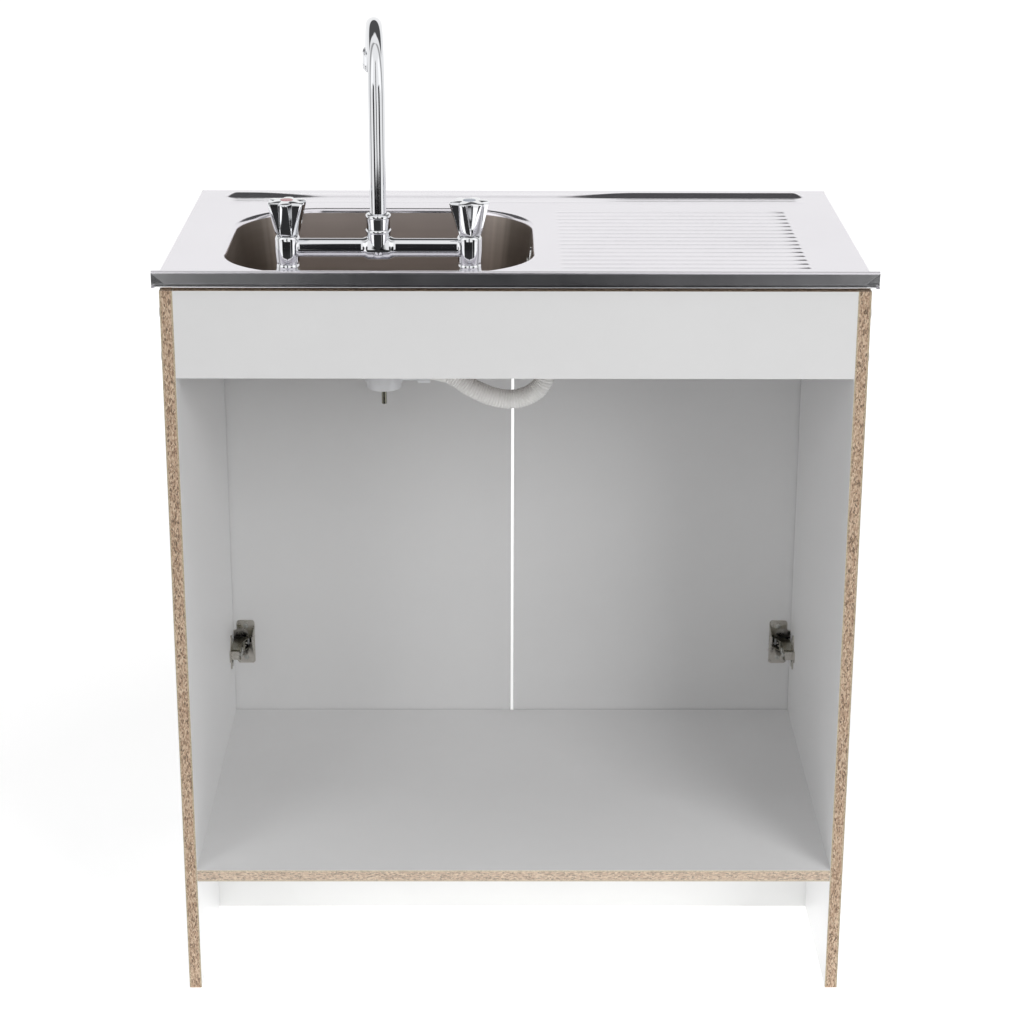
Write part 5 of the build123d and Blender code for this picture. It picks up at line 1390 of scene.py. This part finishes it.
wire(mathNode(shadeGroup, "MULTIPLY", band(aside, 0.24, 0.42, 0.04), band(height, 0.15, 0.8, 0.05)),
     groupOut.inputs["Window"])


def buildFloor():
    v = studioValues
    size = v["floorSize"]
    mesh = meshFrom("studioFloor", [(-size, -size, 0), (size, -size, 0), (size, size, 0), (-size, size, 0)],
                    [(0, 1, 2, 3)])
    material = bpy.data.materials.new("paleFloor")
    material.use_nodes = True
    tree = material.node_tree
    tree.nodes.clear()
    end = put(tree, "ShaderNodeOutputMaterial")
    matte = put(tree, "ShaderNodeBsdfDiffuse")
    glow = put(tree, "ShaderNodeEmission")
    rays = put(tree, "ShaderNodeLightPath")
    place = put(tree, "ShaderNodeTexCoord")
    away = put(tree, "ShaderNodeVectorMath", operation="SUBTRACT")
    wire(place.outputs["Object"], away.inputs[0])
    away.inputs[1].default_value = (0.0, rearY, 0.9)
    reach = put(tree, "ShaderNodeVectorMath", operation="LENGTH")
    wire(place.outputs["Object"], reach.inputs[0])
    near = rangeNode(tree, reach.outputs["Value"], v["paperReach"] + 0.4, v["paperReach"])
    shade = useGroup(tree, shadeGroup, {"Vector": away.outputs[0]})
    dark = mathNode(tree, "MULTIPLY", shade.outputs["Dark"], mathNode(tree, "SUBTRACT", 1.0, near))
    dark = mathNode(tree, "MULTIPLY", dark, rays.outputs["Is Glossy Ray"])
    # the paper glows near the unit, and is bleached to white in the picture
    local = rangeNode(tree, reach.outputs["Value"], 1.1, 0.5, 0.0, v["floorGlow"])
    bleach = rangeNode(tree, reach.outputs["Value"], 0.8, 2.5, v["bleachNear"], v["bleachFar"])
    shown = mathNode(tree, "MULTIPLY", rays.outputs["Is Camera Ray"], bleach)
    mirrored = mathNode(tree, "MULTIPLY", rays.outputs["Is Glossy Ray"], v["floorMirror"])
    strength = mathNode(tree, "MAXIMUM", local, mathNode(tree, "MAXIMUM", shown, mirrored))
    wire(mathNode(tree, "MULTIPLY", strength, mathNode(tree, "SUBTRACT", 1.0, dark)),
         glow.inputs["Strength"])
    wire(mixColour(tree, dark, (0.86, 0.86, 0.86), (0.05, 0.05, 0.052)), matte.inputs["Color"])
    add = put(tree, "ShaderNodeAddShader")
    wire(matte.outputs[0], add.inputs[0])
    wire(glow.outputs[0], add.inputs[1])
    wire(add.outputs[0], end.inputs["Surface"])
    floor = addObject("studioFloor", mesh, material)
    floor.location.z = -0.0002


def buildWorld():
    world = bpy.data.worlds.new("studio")
    bpy.context.scene.world = world
    world.use_nodes = True
    tree = world.node_tree
    tree.nodes.clear()
    end = put(tree, "ShaderNodeOutputWorld")
    sky = put(tree, "ShaderNodeBackground")
    rays = put(tree, "ShaderNodeLightPath")
    place = put(tree, "ShaderNodeTexCoord")
    shade = useGroup(tree, shadeGroup, {"Vector": place.outputs["Generated"]})
    dark = mathNode(tree, "MULTIPLY", shade.outputs["Dark"], rays.outputs["Is Glossy Ray"])
    tone = mixColour(tree, dark, (1.0, 1.0, 1.0), (0.02, 0.02, 0.022))
    wire(tone, sky.inputs["Color"])
    shown = mathNode(tree, "MAXIMUM", rays.outputs["Is Camera Ray"], rays.outputs["Is Glossy Ray"])
    strength = rangeNode(tree, shown, 0.0, 1.0, studioValues["worldStrength"], 1.0)
    window = mathNode(tree, "MULTIPLY", shade.outputs["Window"], rays.outputs["Is Glossy Ray"])
    window = mathNode(tree, "MULTIPLY", window, studioValues["windowGlow"])
    wire(mathNode(tree, "ADD", strength, window), sky.inputs["Strength"])
    wire(sky.outputs[0], end.inputs["Surface"])


def softLamp(name, spot, target, width, height, power):
    light = bpy.data.lights.new(name, "AREA")
    light.shape = "RECTANGLE"
    light.size = width
    light.size_y = height
    light.energy = power
    lamp = bpy.data.objects.new(name, light)
    bpy.context.scene.collection.objects.link(lamp)
    lamp.location = spot
    lamp.rotation_euler = (Vector(target) - Vector(spot)).to_track_quat("-Z", "Y").to_euler()
    lamp.visible_glossy = False      # the studio's own white paper is what the metal mirrors


# the photograph's own viewpoint: behind the unit, looking slightly down; angles in degrees
cameraValues = {
    "lensPixels": 2524.9, "imageWidth": 1024, "pitch": 19.239, "yaw": 0.335, "roll": 0.16,
    "place": (0.0192, rearY + 2.702, 1.554),
}


def buildCamera():
    c = cameraValues
    pitch = math.radians(c["pitch"])
    yaw = math.radians(c["yaw"])
    roll = math.radians(c["roll"])
    ahead = Vector((-math.sin(yaw) * math.cos(pitch), -math.cos(yaw) * math.cos(pitch), -math.sin(pitch)))
    right = Vector((-math.cos(yaw), math.sin(yaw), 0))
    up = right.cross(ahead)
    right2 = right * math.cos(roll) + up * math.sin(roll)
    up2 = -right * math.sin(roll) + up * math.cos(roll)
    data = bpy.data.cameras.new("photoCamera")
    data.sensor_width = 36.0
    data.sensor_fit = "HORIZONTAL"
    data.lens = data.sensor_width * c["lensPixels"] / c["imageWidth"]
    data.clip_end = 100
    camera = bpy.data.objects.new("photoCamera", data)
    bpy.context.scene.collection.objects.link(camera)
    turn = Matrix((right2, up2, -ahead)).transposed().to_4x4()
    camera.matrix_world = Matrix.Translation(c["place"]) @ turn
    bpy.context.scene.camera = camera


buildFloor()
buildWorld()
softLamp("keyPanel", (-2.0, 3.0, 2.0), (0, 0, 0.5), 1.6, 1.6, studioValues["keyPower"])
softLamp("fillPanel", (2.2, 3.0, 1.9), (0, 0, 0.5), 1.6, 1.6, studioValues["fillPower"])
softLamp("topPanel", (0, 0.2, 3.2), (0, 0, 0.8), 2.4, 2.0, studioValues["topPower"])
buildCamera()
bpy.context.scene.view_settings.view_transform = "Standard"
print("studio ready")
